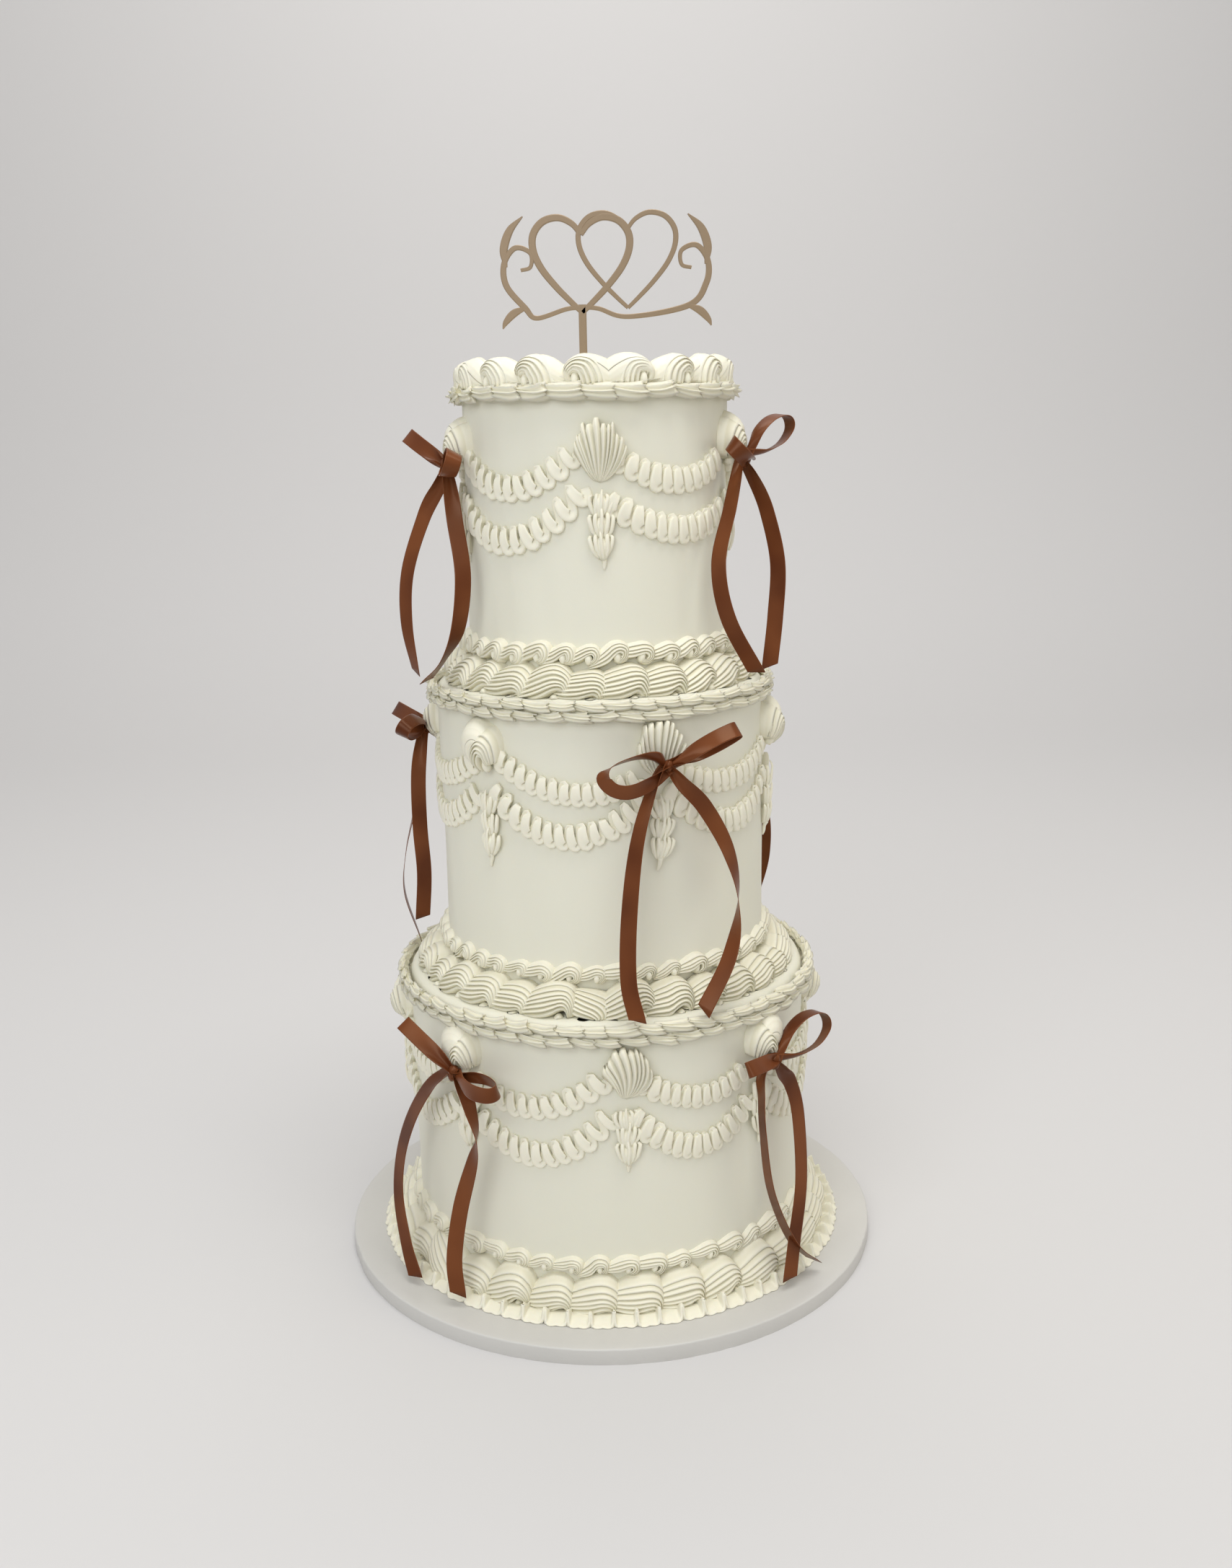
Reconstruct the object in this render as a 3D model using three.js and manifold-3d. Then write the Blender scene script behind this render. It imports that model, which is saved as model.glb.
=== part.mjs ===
// A three-tier wedding cake on its covered board. Each tier is a solid round cake with smooth icing,
// and carries piped borders, two rows of draped garland, piped shells with drops, and ribbon bows.
// A cut-out topper on a stick is pushed into the top tier.
//
// Units are millimetres and +Z is up. The origin is the centre of the board's underside, the front of
// the cake faces -Y, and azimuths are in degrees from the front, positive towards +X.
import * as THREE from "three";
import { mergeVertices } from "three/addons/utils/BufferGeometryUtils.js";
import Module from "manifold-3d";

const wasm = await Module();
wasm.setup();

// ---- Driving dimensions ------------------------------------------------------------------------

const GAP = 0.3; // clearance between pieces that touch
const SHELL_GAP = 0.45; // clearance behind the junction shells and drops
const WALL_GAP = 0.9; // clearance behind long piping whose facets cut across the round side
const SEGMENTS = 36; // facets round a tier, and round every edge that lies against one
const BOARD_SEGMENTS = 48;
const EDGE_BACKSET = 6.5; // the tier's top edge is rounded off under the rim border
const EDGE_DROP = 12.5;

const BOARD = { radius: 177.8, thickness: 12, edgeRound: 1 };

// shells and scrolls are counts round the tier; petals are counts in one span of garland.
const TIERS = [
  {
    name: "bottom",
    radius: 130.8,
    height: 184.7,
    rimShells: 54,
    baseShells: 32,
    baseHeight: 27,
    baseReach: 12,
    scrolls: 48,
    junctions: [4.5, 45, 92, 139, -176, -131, -86, -41],
    junctionHeight: 154,
    upperSwag: { petals: 10, ends: 150, sag: 20, petalHeight: 19 },
    lowerSwag: { petals: 12, ends: 127, sag: 26, petalHeight: 20 },
  },
  {
    name: "middle",
    radius: 104.3,
    height: 188.7,
    rimShells: 44,
    baseShells: 30,
    baseHeight: 20,
    baseReach: 19,
    scrolls: 41,
    junctions: [19, 80, 140, 200, 260, -40],
    junctionHeight: 158.5,
    upperSwag: { petals: 13, ends: 154.5, sag: 21.5, petalHeight: 17 },
    lowerSwag: { petals: 14, ends: 136.5, sag: 31, petalHeight: 18 },
  },
  {
    name: "top",
    radius: 82,
    height: 177,
    rimShells: 35,
    baseShells: 24,
    baseHeight: 19,
    baseReach: 16,
    scrolls: 33,
    junctions: [1.5, 72, 144, 216, 288],
    junctionHeight: 145,
    upperSwag: { petals: 11, ends: 139.5, sag: 17.5, petalHeight: 18 },
    lowerSwag: { petals: 11, ends: 123, sag: 31, petalHeight: 19 },
  },
];

// Every piped shell has a tail and a head. Pairs give the two as shares of the shell's pitch, reach or
// height, and a drop is measured down from the tier's top.
const TAIL_TO_HEAD = [0.1, 0.7];
const RIM = {
  reach: [0.55, 1],
  lowOut: 9,
  lowDrop: 9.5,
  notchOut: 5,
  notchDrop: 5,
  highOut: 10.5,
  highDrop: 1.5,
  crestOut: 2,
  crest: 2,
};
const BASE = {
  foot: [0.7, 0.95],
  belly: [0.62, 1],
  bellyHeight: 0.42,
  brow: [0.4, 0.55],
  browHeight: [0.82, 0.98],
  backHeight: 0.9,
};
const SCROLL = { height: 12, out: 7, lift: 1.5, reach: [0.5, 1], curlHeight: 0.4, topHeight: [0.6, 1] };
const RUFFLE = {
  folds: 72,
  inner: 144.2,
  outer: 156.5,
  footInset: 2,
  pleatInset: 4,
  pleatHeight: 7,
  scoopHeight: 1.8,
  backHeight: 5.6,
};
const CROWN = {
  shells: 18,
  radius: 77,
  halfDepth: 11,
  height: 15.5,
  footInset: 3,
  reach: [0.55, 1],
  rise: [0.7, 1],
};
const PETAL = { out: 5.8, valley: 2.6, notch: 6, crestShare: 0.4, valleyShare: 0.96 };
const EDGE_STEP = 12; // degrees between the points of a garland's plain top edge
const SHELL = { width: 27, height: 33, out: 11, ridges: 5, spread: 50, valley: 0.7, browRise: 0.66 };
const DROP = {
  width: 15,
  out: 6.5,
  shellHeight: 12.5,
  shells: 3,
  margin: 8.6,
  neck: 0.55,
  head: 0.25,
  tip: 3,
  tipShare: 0.08,
};
const BAND = { height: 8, drop: 5.5, out: 3 }; // the lower row's plain band behind a drop's top
const RIBBON = { width: 9.6, thickness: 0.9, pinch: 0.5, loopStart: 0.03 };
const KNOT = { across: 9, up: 7.5, out: 7 };
const TOPPER = {
  thickness: 3,
  stickWidth: 4.8,
  stickX: -6,
  stickDepth: 40,
  stickTop: -20,
  centreX: 9,
  centreZ: 633.5,
  heartSize: 52,
  firstHeart: [-15, 5],
  secondHeart: [13, 8],
  outerStroke: 4.2,
  innerStroke: 2.6,
  heartPoint: 2.2,
  scrollStroke: [1.8, 3.8],
  leafStroke: [0.8, 5],
};

// Each bow hangs from a knot. A loop's end is given from the knot along the side, upwards and
// outwards, with the loop's height. A tail's end and belly are given as an azimuth and a distance
// outwards, with the height of its end above the board's underside.
const BOWS = [
  {
    name: "top_left",
    tier: "top",
    azimuth: -72,
    knotHeight: 519,
    knotOut: 13,
    loops: [
      { across: -30, up: 19, out: 17, height: 15 },
      { across: 34, up: 1, out: 2, height: 17 },
    ],
    tails: [
      { endTurn: -5, belly: -3, endOut: 23, bellyOut: 14, endHeight: 392, twist: 40 },
      { endTurn: 3, belly: 15, endOut: 22, bellyOut: -8, endHeight: 391, twist: -50 },
    ],
  },
  {
    name: "top_right",
    tier: "top",
    azimuth: 72,
    knotHeight: 522,
    knotOut: 13,
    loops: [
      { across: -34, up: 3, out: 1, height: 16 },
      { across: 30, up: 18, out: 19, height: 20 },
    ],
    tails: [
      { endTurn: -15, belly: -17, endOut: 17, bellyOut: -8, endHeight: 394, twist: 45 },
      { endTurn: 3, belly: 3, endOut: 23, bellyOut: 12, endHeight: 393, twist: -45 },
    ],
  },
  {
    name: "middle_front",
    tier: "middle",
    azimuth: 19,
    knotHeight: 348,
    knotOut: 13,
    loops: [
      { across: -46, up: 3, out: 8, height: 21 },
      { across: 40, up: 18, out: 8, height: 13 },
    ],
    tails: [
      { endTurn: -11, belly: -5, endOut: 24, bellyOut: -3, endHeight: 206, twist: 20 },
      { endTurn: 5, belly: 17, endOut: 23, bellyOut: -2, endHeight: 206, twist: 70 },
    ],
  },
  {
    name: "middle_left",
    tier: "middle",
    azimuth: -100,
    knotHeight: 350,
    knotOut: 13,
    loops: [
      { across: -26, up: 6, out: 28, height: 13 },
      { across: 36, up: 6, out: 4, height: 16 },
    ],
    tails: [
      { endTurn: -6, belly: -4, endOut: 31, bellyOut: 14, endHeight: 186, twist: 30 },
      { endTurn: 4, belly: 5, endOut: 16, bellyOut: -2, endHeight: 219, twist: -40 },
    ],
  },
  {
    name: "middle_back",
    tier: "middle",
    azimuth: 140,
    knotHeight: 349,
    knotOut: 13,
    loops: [
      { across: -44, up: 8, out: 10, height: 18 },
      { across: 42, up: 12, out: 7, height: 17 },
    ],
    tails: [
      { endTurn: -10, belly: -13, endOut: 24, bellyOut: 2, endHeight: 207, twist: 50 },
      { endTurn: 8, belly: 6, endOut: 24, bellyOut: -2, endHeight: 206, twist: -30 },
    ],
  },
  {
    name: "bottom_left",
    tier: "bottom",
    azimuth: -41,
    knotHeight: 159,
    knotOut: 13,
    loops: [
      { across: -34, up: 27, out: 8, height: 12 },
      { across: 46, up: 9, out: 6, height: 15 },
    ],
    tails: [
      { endTurn: -11, belly: -15, endOut: 18, bellyOut: 0, endHeight: 18, twist: 60 },
      { endTurn: 0, belly: 4, endOut: 18, bellyOut: 0, endHeight: 17, twist: -50 },
    ],
  },
  {
    name: "bottom_right",
    tier: "bottom",
    azimuth: 45,
    knotHeight: 159,
    knotOut: 13,
    loops: [
      { across: -38, up: 10, out: 4, height: 16 },
      { across: 48, up: 13, out: 7, height: 20 },
    ],
    tails: [
      { endTurn: 9, belly: -8, endOut: 18, bellyOut: 0, endHeight: 18, twist: 45 },
      { endTurn: 0, belly: 8, endOut: 18, bellyOut: 0, endHeight: 17, twist: -60 },
    ],
  },
  {
    name: "bottom_back_right",
    tier: "bottom",
    azimuth: 139,
    knotHeight: 160,
    knotOut: 13,
    loops: [
      { across: -44, up: 12, out: 6, height: 17 },
      { across: 42, up: 6, out: 7, height: 18 },
    ],
    tails: [
      { endTurn: -9, belly: -6, endOut: 18, bellyOut: 0, endHeight: 18, twist: 40 },
      { endTurn: 4, belly: 9, endOut: 18, bellyOut: 0, endHeight: 17, twist: -40 },
    ],
  },
  {
    name: "bottom_back_left",
    tier: "bottom",
    azimuth: -131,
    knotHeight: 158,
    knotOut: 13,
    loops: [
      { across: -42, up: 8, out: 7, height: 18 },
      { across: 45, up: 14, out: 6, height: 16 },
    ],
    tails: [
      { endTurn: -6, belly: -9, endOut: 18, bellyOut: 0, endHeight: 17, twist: 55 },
      { endTurn: 8, belly: 3, endOut: 18, bellyOut: 0, endHeight: 18, twist: -45 },
    ],
  },
];

// ---- Materials ---------------------------------------------------------------------------------

const icing = new THREE.MeshStandardMaterial({ color: 0xe4e3cf, roughness: 0.55, metalness: 0 });
const piping = new THREE.MeshStandardMaterial({ color: 0xf0eedb, roughness: 0.5, metalness: 0 });
const satin = new THREE.MeshStandardMaterial({ color: 0x6e3220, roughness: 0.35, metalness: 0 });
const covered = new THREE.MeshStandardMaterial({ color: 0xd9d6da, roughness: 0.4, metalness: 0 });
const gilt = new THREE.MeshStandardMaterial({ color: 0xa08560, roughness: 0.4, metalness: 0.3 });

// ---- Geometry helpers --------------------------------------------------------------------------

const radians = THREE.MathUtils.degToRad;

// A seeded draw in -1..1, so that the piping is uneven in the same way each time.
function randomSource(seed) {
  let state = seed;
  return () => {
    state = (state * 1664525 + 1013904223) % 4294967296;
    return (state / 4294967296) * 2 - 1;
  };
}

// The point at an azimuth, a radius and a height.
function around(azimuth, radius, z) {
  const a = radians(azimuth);
  return new THREE.Vector3(radius * Math.sin(a), -radius * Math.cos(a), z);
}

function meshGeometry(points, triangles) {
  const geometry = new THREE.BufferGeometry().setFromPoints(points);
  geometry.setIndex(triangles);
  geometry.computeVertexNormals();
  return geometry;
}

// A rail is one closed line round the cake: count repeats of the places in steps (shares of a
// pitch), each turned by phase degrees. at(step index, repeat) gives its radius and height.
function rail(count, steps, at, phase = 0) {
  const pitch = 360 / count;
  const places = [];
  for (let k = 0; k < count; k++) {
    steps.forEach((share, step) => {
      const azimuth = phase + (k + share) * pitch;
      const [radius, z] = at(step, k);
      places.push({ azimuth, point: around(azimuth, radius, z) });
    });
  }
  return places;
}

// A plain rail that keeps to the facets of a tier.
function plainRail(radius, z) {
  return rail(SEGMENTS, [0], () => [radius, z]);
}

// Joins closed rails, listed from the bottom outwards, up and back, into one closed ring.
function ringGeometry(rails) {
  const points = [];
  const first = [];
  for (const line of rails) {
    first.push(points.length);
    points.push(...line.map((place) => place.point));
  }
  const triangles = [];
  rails.forEach((below, n) => {
    const next = (n + 1) % rails.length;
    const above = rails[next];
    const azimuthOf = (line, i) => line[i % line.length].azimuth + (i >= line.length ? 360 : 0);
    let i = 0;
    let j = 0;
    while (i < below.length || j < above.length) {
      const here = first[n] + (i % below.length);
      const there = first[next] + (j % above.length);
      const advanceBelow =
        j >= above.length || (i < below.length && azimuthOf(below, i + 1) <= azimuthOf(above, j + 1));
      if (advanceBelow) {
        i += 1;
        triangles.push(here, first[n] + (i % below.length), there);
      } else {
        j += 1;
        triangles.push(here, first[next] + (j % above.length), there);
      }
    }
  });
  return meshGeometry(points, triangles);
}

// Joins sections with the same number of points into a closed bar with flat ends.
function barGeometry(sections) {
  const size = sections[0].length;
  const triangles = [];
  for (let k = 0; k + 1 < sections.length; k++) {
    for (let i = 0; i < size; i++) {
      const a = k * size + i;
      const b = k * size + ((i + 1) % size);
      triangles.push(a, b, a + size, b, b + size, a + size);
    }
  }
  const last = (sections.length - 1) * size;
  for (let i = 1; i + 1 < size; i++) {
    triangles.push(0, i + 1, i);
    triangles.push(last, last + i, last + i + 1);
  }
  return meshGeometry(sections.flat(), triangles);
}

// A three.js geometry as a manifold solid.
function solidOf(geometry) {
  const plain = geometry.index ? geometry.toNonIndexed() : geometry.clone();
  plain.deleteAttribute("normal");
  plain.deleteAttribute("uv");
  const merged = mergeVertices(plain, 1e-3);
  return new wasm.Manifold(
    new wasm.Mesh({
      numProp: 3,
      vertProperties: new Float32Array(merged.attributes.position.array),
      triVerts: new Uint32Array(merged.index.array),
    }),
  );
}

function geometryOf(solid) {
  const made = solid.getMesh();
  const geometry = new THREE.BufferGeometry();
  geometry.setAttribute("position", new THREE.BufferAttribute(made.vertProperties, 3));
  geometry.setIndex(new THREE.BufferAttribute(made.triVerts, 1));
  geometry.computeVertexNormals();
  return geometry;
}

function joined(geometries) {
  return geometryOf(geometries.map(solidOf).reduce((all, next) => all.add(next)));
}

function piece(name, geometry, material) {
  const mesh = new THREE.Mesh(geometry, material);
  mesh.name = name;
  return mesh;
}

// ---- Board and tiers ---------------------------------------------------------------------------

function boardGeometry() {
  const { radius, thickness, edgeRound } = BOARD;
  const profile = [
    new THREE.Vector2(0, 0),
    new THREE.Vector2(radius, 0),
    new THREE.Vector2(radius, thickness - edgeRound),
    new THREE.Vector2(radius - edgeRound, thickness),
    new THREE.Vector2(0, thickness),
  ];
  return new THREE.LatheGeometry(profile, BOARD_SEGMENTS).rotateX(Math.PI / 2);
}

// A solid round cake from its floor to its top, its top edge rounded off under the rim border.
function tierGeometry(tier) {
  const profile = [
    new THREE.Vector2(0, tier.floor),
    new THREE.Vector2(tier.radius, tier.floor),
    new THREE.Vector2(tier.radius, tier.top - EDGE_DROP),
    new THREE.Vector2(tier.radius - EDGE_BACKSET, tier.top),
    new THREE.Vector2(0, tier.top),
  ];
  return new THREE.LatheGeometry(profile, SEGMENTS).rotateX(Math.PI / 2);
}

// The top tier has the slot that the topper's stick is pushed into.
function slottedTierGeometry(tier) {
  const { stickWidth, thickness, stickX, stickDepth } = TOPPER;
  const slot = new THREE.BoxGeometry(stickWidth + 2 * GAP, thickness + 2 * GAP, 2 * stickDepth);
  slot.translate(stickX, 0, tier.top);
  return geometryOf(solidOf(tierGeometry(tier)).subtract(solidOf(slot)));
}

// ---- Piped borders -----------------------------------------------------------------------------

// Seeded sizes of the shells in a row, uneven by a share either way.
function unevenSizes(count, share, random) {
  return Array.from({ length: count }, () => 1 + share * random());
}

// Two stacked rows of small shells that wrap the tier's top edge. Each shell swells from its tail to
// its head, and the upper row is set half a shell along.
function rimGeometry(tier, random) {
  const { radius, top, rimShells } = tier;
  const sizes = unevenSizes(rimShells, 0.05, random);
  const row = (out, drop) => (step, k) => [radius + out * sizes[k] * RIM.reach[step], top - drop];
  const half = 180 / rimShells;
  return ringGeometry([
    plainRail(radius + GAP, top - EDGE_DROP + 2 * GAP),
    rail(rimShells, TAIL_TO_HEAD, row(RIM.lowOut, RIM.lowDrop)),
    rail(rimShells, [0.5], () => [radius + RIM.notchOut, top - RIM.notchDrop]),
    rail(rimShells, TAIL_TO_HEAD, row(RIM.highOut, RIM.highDrop), half),
    plainRail(radius + RIM.crestOut, top + RIM.crest),
    plainRail(radius - EDGE_BACKSET + GAP, top + GAP),
  ]);
}

// Large fluted shells that lean on the tier's foot, on the ledge or board below it.
function baseShellsGeometry(tier, random) {
  const { radius, floor, baseShells, baseHeight, baseReach } = tier;
  const sizes = unevenSizes(baseShells, 0.04, random);
  const row = (reach, height) => (step, k) => [radius + baseReach * reach[step] * sizes[k], floor + height];
  return ringGeometry([
    plainRail(radius + GAP, floor),
    rail(baseShells, TAIL_TO_HEAD, row(BASE.foot, 0)),
    rail(baseShells, TAIL_TO_HEAD, row(BASE.belly, baseHeight * BASE.bellyHeight)),
    rail(baseShells, TAIL_TO_HEAD, (step, k) => [
      radius + baseReach * BASE.brow[step],
      floor + baseHeight * BASE.browHeight[step] * sizes[k],
    ]),
    plainRail(radius + GAP, floor + baseHeight * BASE.backHeight),
  ]);
}

// A row of small curls against the side, just above the base shells.
function scrollsGeometry(tier, random) {
  const { radius, floor, baseHeight, scrolls } = tier;
  const bottom = floor + baseHeight + SCROLL.lift;
  const sizes = unevenSizes(scrolls, 0.06, random);
  return ringGeometry([
    plainRail(radius + GAP, bottom),
    rail(scrolls, TAIL_TO_HEAD, (step, k) => [
      radius + SCROLL.out * SCROLL.reach[step] * sizes[k],
      bottom + SCROLL.height * SCROLL.curlHeight,
    ]),
    rail(scrolls, TAIL_TO_HEAD, (step, k) => [
      radius + WALL_GAP,
      bottom + SCROLL.height * SCROLL.topHeight[step] * sizes[k],
    ]),
  ]);
}

// A flat pleated band on the board, round the foot of the bottom tier's shells. Each fold is a narrow
// raised pleat and a flat scoop.
function ruffleGeometry(random) {
  const { folds, inner, outer, footInset, pleatInset, pleatHeight, scoopHeight, backHeight } = RUFFLE;
  const floor = BOARD.thickness + GAP;
  const sizes = unevenSizes(folds, 0.1, random);
  return ringGeometry([
    plainRail(inner, floor),
    plainRail(outer - footInset, floor),
    rail(folds, [0, 0.5], (step, k) => [
      step ? outer : outer - pleatInset,
      floor + (step ? scoopHeight : pleatHeight * sizes[k]),
    ]),
    rail(folds, [0], (step, k) => [inner + 2 * GAP, floor + backHeight * sizes[k]]),
  ]);
}

// The ring of large shells that stands on the edge of the top tier.
function crownGeometry(tier, random) {
  const { shells, radius, halfDepth, height, footInset, reach, rise } = CROWN;
  const floor = tier.top + RIM.crest + 2 * GAP;
  const sizes = unevenSizes(shells, 0.05, random);
  const side = (way) => (step, k) => [radius + way * halfDepth * reach[step] * sizes[k], floor + height / 2];
  return ringGeometry([
    plainRail(radius - halfDepth + footInset, floor),
    rail(shells, TAIL_TO_HEAD, () => [radius + halfDepth - footInset, floor]),
    rail(shells, TAIL_TO_HEAD, side(1)),
    rail(shells, TAIL_TO_HEAD, (step, k) => [radius, floor + height * rise[step] * sizes[k]]),
    rail(shells, TAIL_TO_HEAD, side(-1)),
  ]);
}

// ---- Garlands ----------------------------------------------------------------------------------

// One row of overlapping petals that droops between the junctions, as a closed ring. atJunction adds
// what the row carries at a junction, and the petals keep clear of it by the margin.
function swagGeometry(tier, swag, margin, random, atJunction) {
  const { radius, floor, junctions } = tier;
  const { petals, ends, sag, petalHeight } = swag;
  const starts = [...junctions].map((azimuth) => ((azimuth % 360) + 360) % 360).sort((a, b) => a - b);
  const degreesPerMm = 180 / (Math.PI * radius);
  const edge = [];
  const crest = [];
  const hem = [];
  const put = (line, azimuth, z, out) => line.push({ azimuth, point: around(azimuth, radius + out, z) });
  starts.forEach((start, n) => {
    const end = n + 1 < starts.length ? starts[n + 1] : starts[0] + 360;
    const first = start + margin * degreesPerMm;
    const span = end - start - 2 * margin * degreesPerMm;
    const centre = (azimuth) => {
      const share = (azimuth - start) / (end - start);
      return floor + ends - sag * 4 * share * (1 - share);
    };
    atJunction(
      (line, across, z, out) => put(line, start + across * degreesPerMm, z, out),
      { edge, crest, hem },
    );
    const plain = Math.ceil(span / EDGE_STEP);
    for (let k = 0; k < plain; k++) {
      const azimuth = first + (span * (k + 0.5)) / plain;
      put(edge, azimuth, centre(azimuth) + petalHeight / 2, WALL_GAP);
    }
    for (let k = 0; k < petals; k++) {
      const size = 1 + 0.07 * random();
      const middle = first + (span * (k + PETAL.crestShare)) / petals;
      const valley = first + (span * (k + PETAL.valleyShare)) / petals;
      put(crest, middle, centre(middle), PETAL.out * size);
      put(hem, middle, centre(middle) - (petalHeight / 2) * size, WALL_GAP);
      if (k + 1 < petals) {
        put(crest, valley, centre(valley) + PETAL.notch - petalHeight / 2, PETAL.valley);
      }
    }
  });
  return ringGeometry([hem, crest, edge]);
}

// The upper row carries a ridged fan shell at each junction, spreading upwards from its point.
function upperGarlandGeometry(tier, random) {
  const { width, height, out, ridges, spread, valley, browRise } = SHELL;
  const tip = tier.floor + tier.junctionHeight - height / 2;
  const places = 2 * ridges - 1;
  return swagGeometry(tier, tier.upperSwag, width / 2 + 1, random, (put, { edge, crest, hem }) => {
    for (let k = 0; k < places; k++) {
      const angle = radians(spread * ((2 * k) / (places - 1) - 1));
      const ridge = k % 2 === 0;
      const across = ((width / 2) * Math.sin(angle)) / Math.sin(radians(spread));
      const rise = height * (ridge ? 1 : 0.92) * (1 + 3 * Math.cos(angle)) * 0.25;
      put(edge, across, tip + rise, WALL_GAP);
      put(crest, across * browRise, tip + rise * browRise, out * (ridge ? 1 : valley) * Math.cos(angle));
    }
    put(hem, 0, tip, WALL_GAP);
  });
}

// The lower row narrows to a plain band between the fan shell and the drop at each junction.
function lowerGarlandGeometry(tier, random) {
  const { margin } = DROP;
  const top = tier.floor + tier.junctionHeight - SHELL.height / 2 - 2 * GAP;
  return swagGeometry(tier, tier.lowerSwag, margin, random, (put, { edge, crest, hem }) => {
    put(edge, -margin, top - BAND.drop, WALL_GAP);
    put(edge, 0, top, WALL_GAP);
    put(edge, margin, top - BAND.drop, WALL_GAP);
    for (const side of [-1, 1]) {
      put(crest, side * margin, top - (BAND.drop + BAND.height) / 2, BAND.out);
      put(hem, side * margin, top - BAND.height, WALL_GAP);
    }
  });
}

// Three small shells that hang one below the other under a junction.
function dropGeometry(tier, azimuth) {
  const { width, out, shellHeight, shells, neck, head, tip, tipShare } = DROP;
  const start = tier.floor + tier.junctionHeight - SHELL.height / 2 - BAND.height - 4 * GAP;
  const sections = [];
  const section = (z, share) => {
    const half = THREE.MathUtils.radToDeg(((width / 2) * share) / tier.radius);
    sections.push([
      around(azimuth - half, tier.radius + SHELL_GAP, z),
      around(azimuth + half, tier.radius + SHELL_GAP, z),
      around(azimuth, tier.radius + SHELL_GAP + out * share, z),
    ]);
  };
  for (let k = 0; k < shells; k++) {
    if (k) {
      section(start - k * shellHeight, neck);
    }
    section(start - (k + head) * shellHeight, 1);
  }
  section(start - shells * shellHeight - tip, tipShare);
  return barGeometry(sections);
}

// ---- Ribbon bows -------------------------------------------------------------------------------

// A closed strip of ribbon through places, each a centre with the direction of the ribbon's width.
// The strip is pinched where it comes out of the knot.
function ribbonGeometry(places) {
  const sections = places.map(({ centre, widthwise, pinched }, k) => {
    const before = places[Math.max(k - 1, 0)].centre;
    const after = places[Math.min(k + 1, places.length - 1)].centre;
    const along = after.clone().sub(before).normalize();
    const thick = new THREE.Vector3().crossVectors(along, widthwise).normalize();
    const wide = new THREE.Vector3().crossVectors(thick, along);
    const width = RIBBON.width * (pinched ? RIBBON.pinch : 1);
    const corner = (w, t) =>
      centre
        .clone()
        .addScaledVector(wide, (w * width) / 2)
        .addScaledVector(thick, (t * RIBBON.thickness) / 2);
    return [corner(-1, -1), corner(1, -1), corner(1, 1), corner(-1, 1)];
  });
  return barGeometry(sections);
}

// One loop: a teardrop from the knot to the loop's end and back.
function loopPlaces(knot, frame, loop) {
  const end = new THREE.Vector3()
    .addScaledVector(frame.across, loop.across)
    .addScaledVector(frame.up, loop.up)
    .addScaledVector(frame.out, loop.out);
  const widthwise = new THREE.Vector3().crossVectors(end, frame.up).normalize();
  const rise = new THREE.Vector3().crossVectors(widthwise, end).normalize();
  const steps = 5;
  const places = [];
  for (let k = 0; k <= steps; k++) {
    const share = RIBBON.loopStart + ((1 - 2 * RIBBON.loopStart) * k) / steps;
    const centre = knot
      .clone()
      .addScaledVector(end, Math.sin(Math.PI * share))
      .addScaledVector(rise, (loop.height / 2) * Math.sin(2 * Math.PI * share));
    places.push({ centre, widthwise, pinched: k === 0 || k === steps });
  }
  return places;
}

// One tail: it hangs from the knot, follows the round side and swings out to its end.
function tailPlaces(bow, tier, tail) {
  const steps = 3;
  const places = [];
  for (let k = 0; k <= steps; k++) {
    const share = k / steps;
    const belly = Math.sin(Math.PI * share);
    const azimuth = bow.azimuth + tail.endTurn * share + tail.belly * belly;
    const radius = tier.radius + bow.knotOut + tail.endOut * share + tail.bellyOut * belly;
    const z = bow.knotHeight + (tail.endHeight - bow.knotHeight) * share;
    const turn = azimuth + tail.twist * belly;
    const widthwise = new THREE.Vector3(Math.cos(radians(turn)), Math.sin(radians(turn)), 0);
    places.push({ centre: around(azimuth, radius, z), widthwise, pinched: k === 0 });
  }
  return places;
}

function bowGeometry(bow) {
  const tier = TIERS.find((each) => each.name === bow.tier);
  const a = radians(bow.azimuth);
  const frame = {
    across: new THREE.Vector3(Math.cos(a), Math.sin(a), 0),
    out: new THREE.Vector3(Math.sin(a), -Math.cos(a), 0),
    up: new THREE.Vector3(0, 0, 1),
  };
  const knot = around(bow.azimuth, tier.radius + bow.knotOut, bow.knotHeight);
  const wrap = new THREE.BoxGeometry(KNOT.across, KNOT.out, KNOT.up);
  wrap.rotateZ(a);
  wrap.translate(knot.x, knot.y, knot.z);
  const strips = [
    ...bow.loops.map((loop) => loopPlaces(knot, frame, loop)),
    ...bow.tails.map((tail) => tailPlaces(bow, tier, tail)),
  ];
  return joined([wrap, ...strips.map(ribbonGeometry)]);
}

// ---- Topper ------------------------------------------------------------------------------------

// A flat stroke through points (x, z) from the topper's centre, thin at its ends and thick at its
// middle, cut from the sheet.
function strokeGeometry(points, thin, thick, steps) {
  const curve = new THREE.CatmullRomCurve3(points.map(([x, z]) => new THREE.Vector3(x, z, 0)));
  const left = [];
  const right = [];
  for (let k = 0; k <= steps; k++) {
    const centre = curve.getPoint(k / steps);
    const along = curve.getTangent(k / steps);
    const half = (thin + (thick - thin) * Math.sin((Math.PI * k) / steps)) / 2;
    left.push(new THREE.Vector2(centre.x - along.y * half, centre.y + along.x * half));
    right.unshift(new THREE.Vector2(centre.x + along.y * half, centre.y - along.x * half));
  }
  const shape = new THREE.Shape([...left, ...right]);
  return new THREE.ExtrudeGeometry(shape, { depth: TOPPER.thickness, bevelEnabled: false });
}

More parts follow.
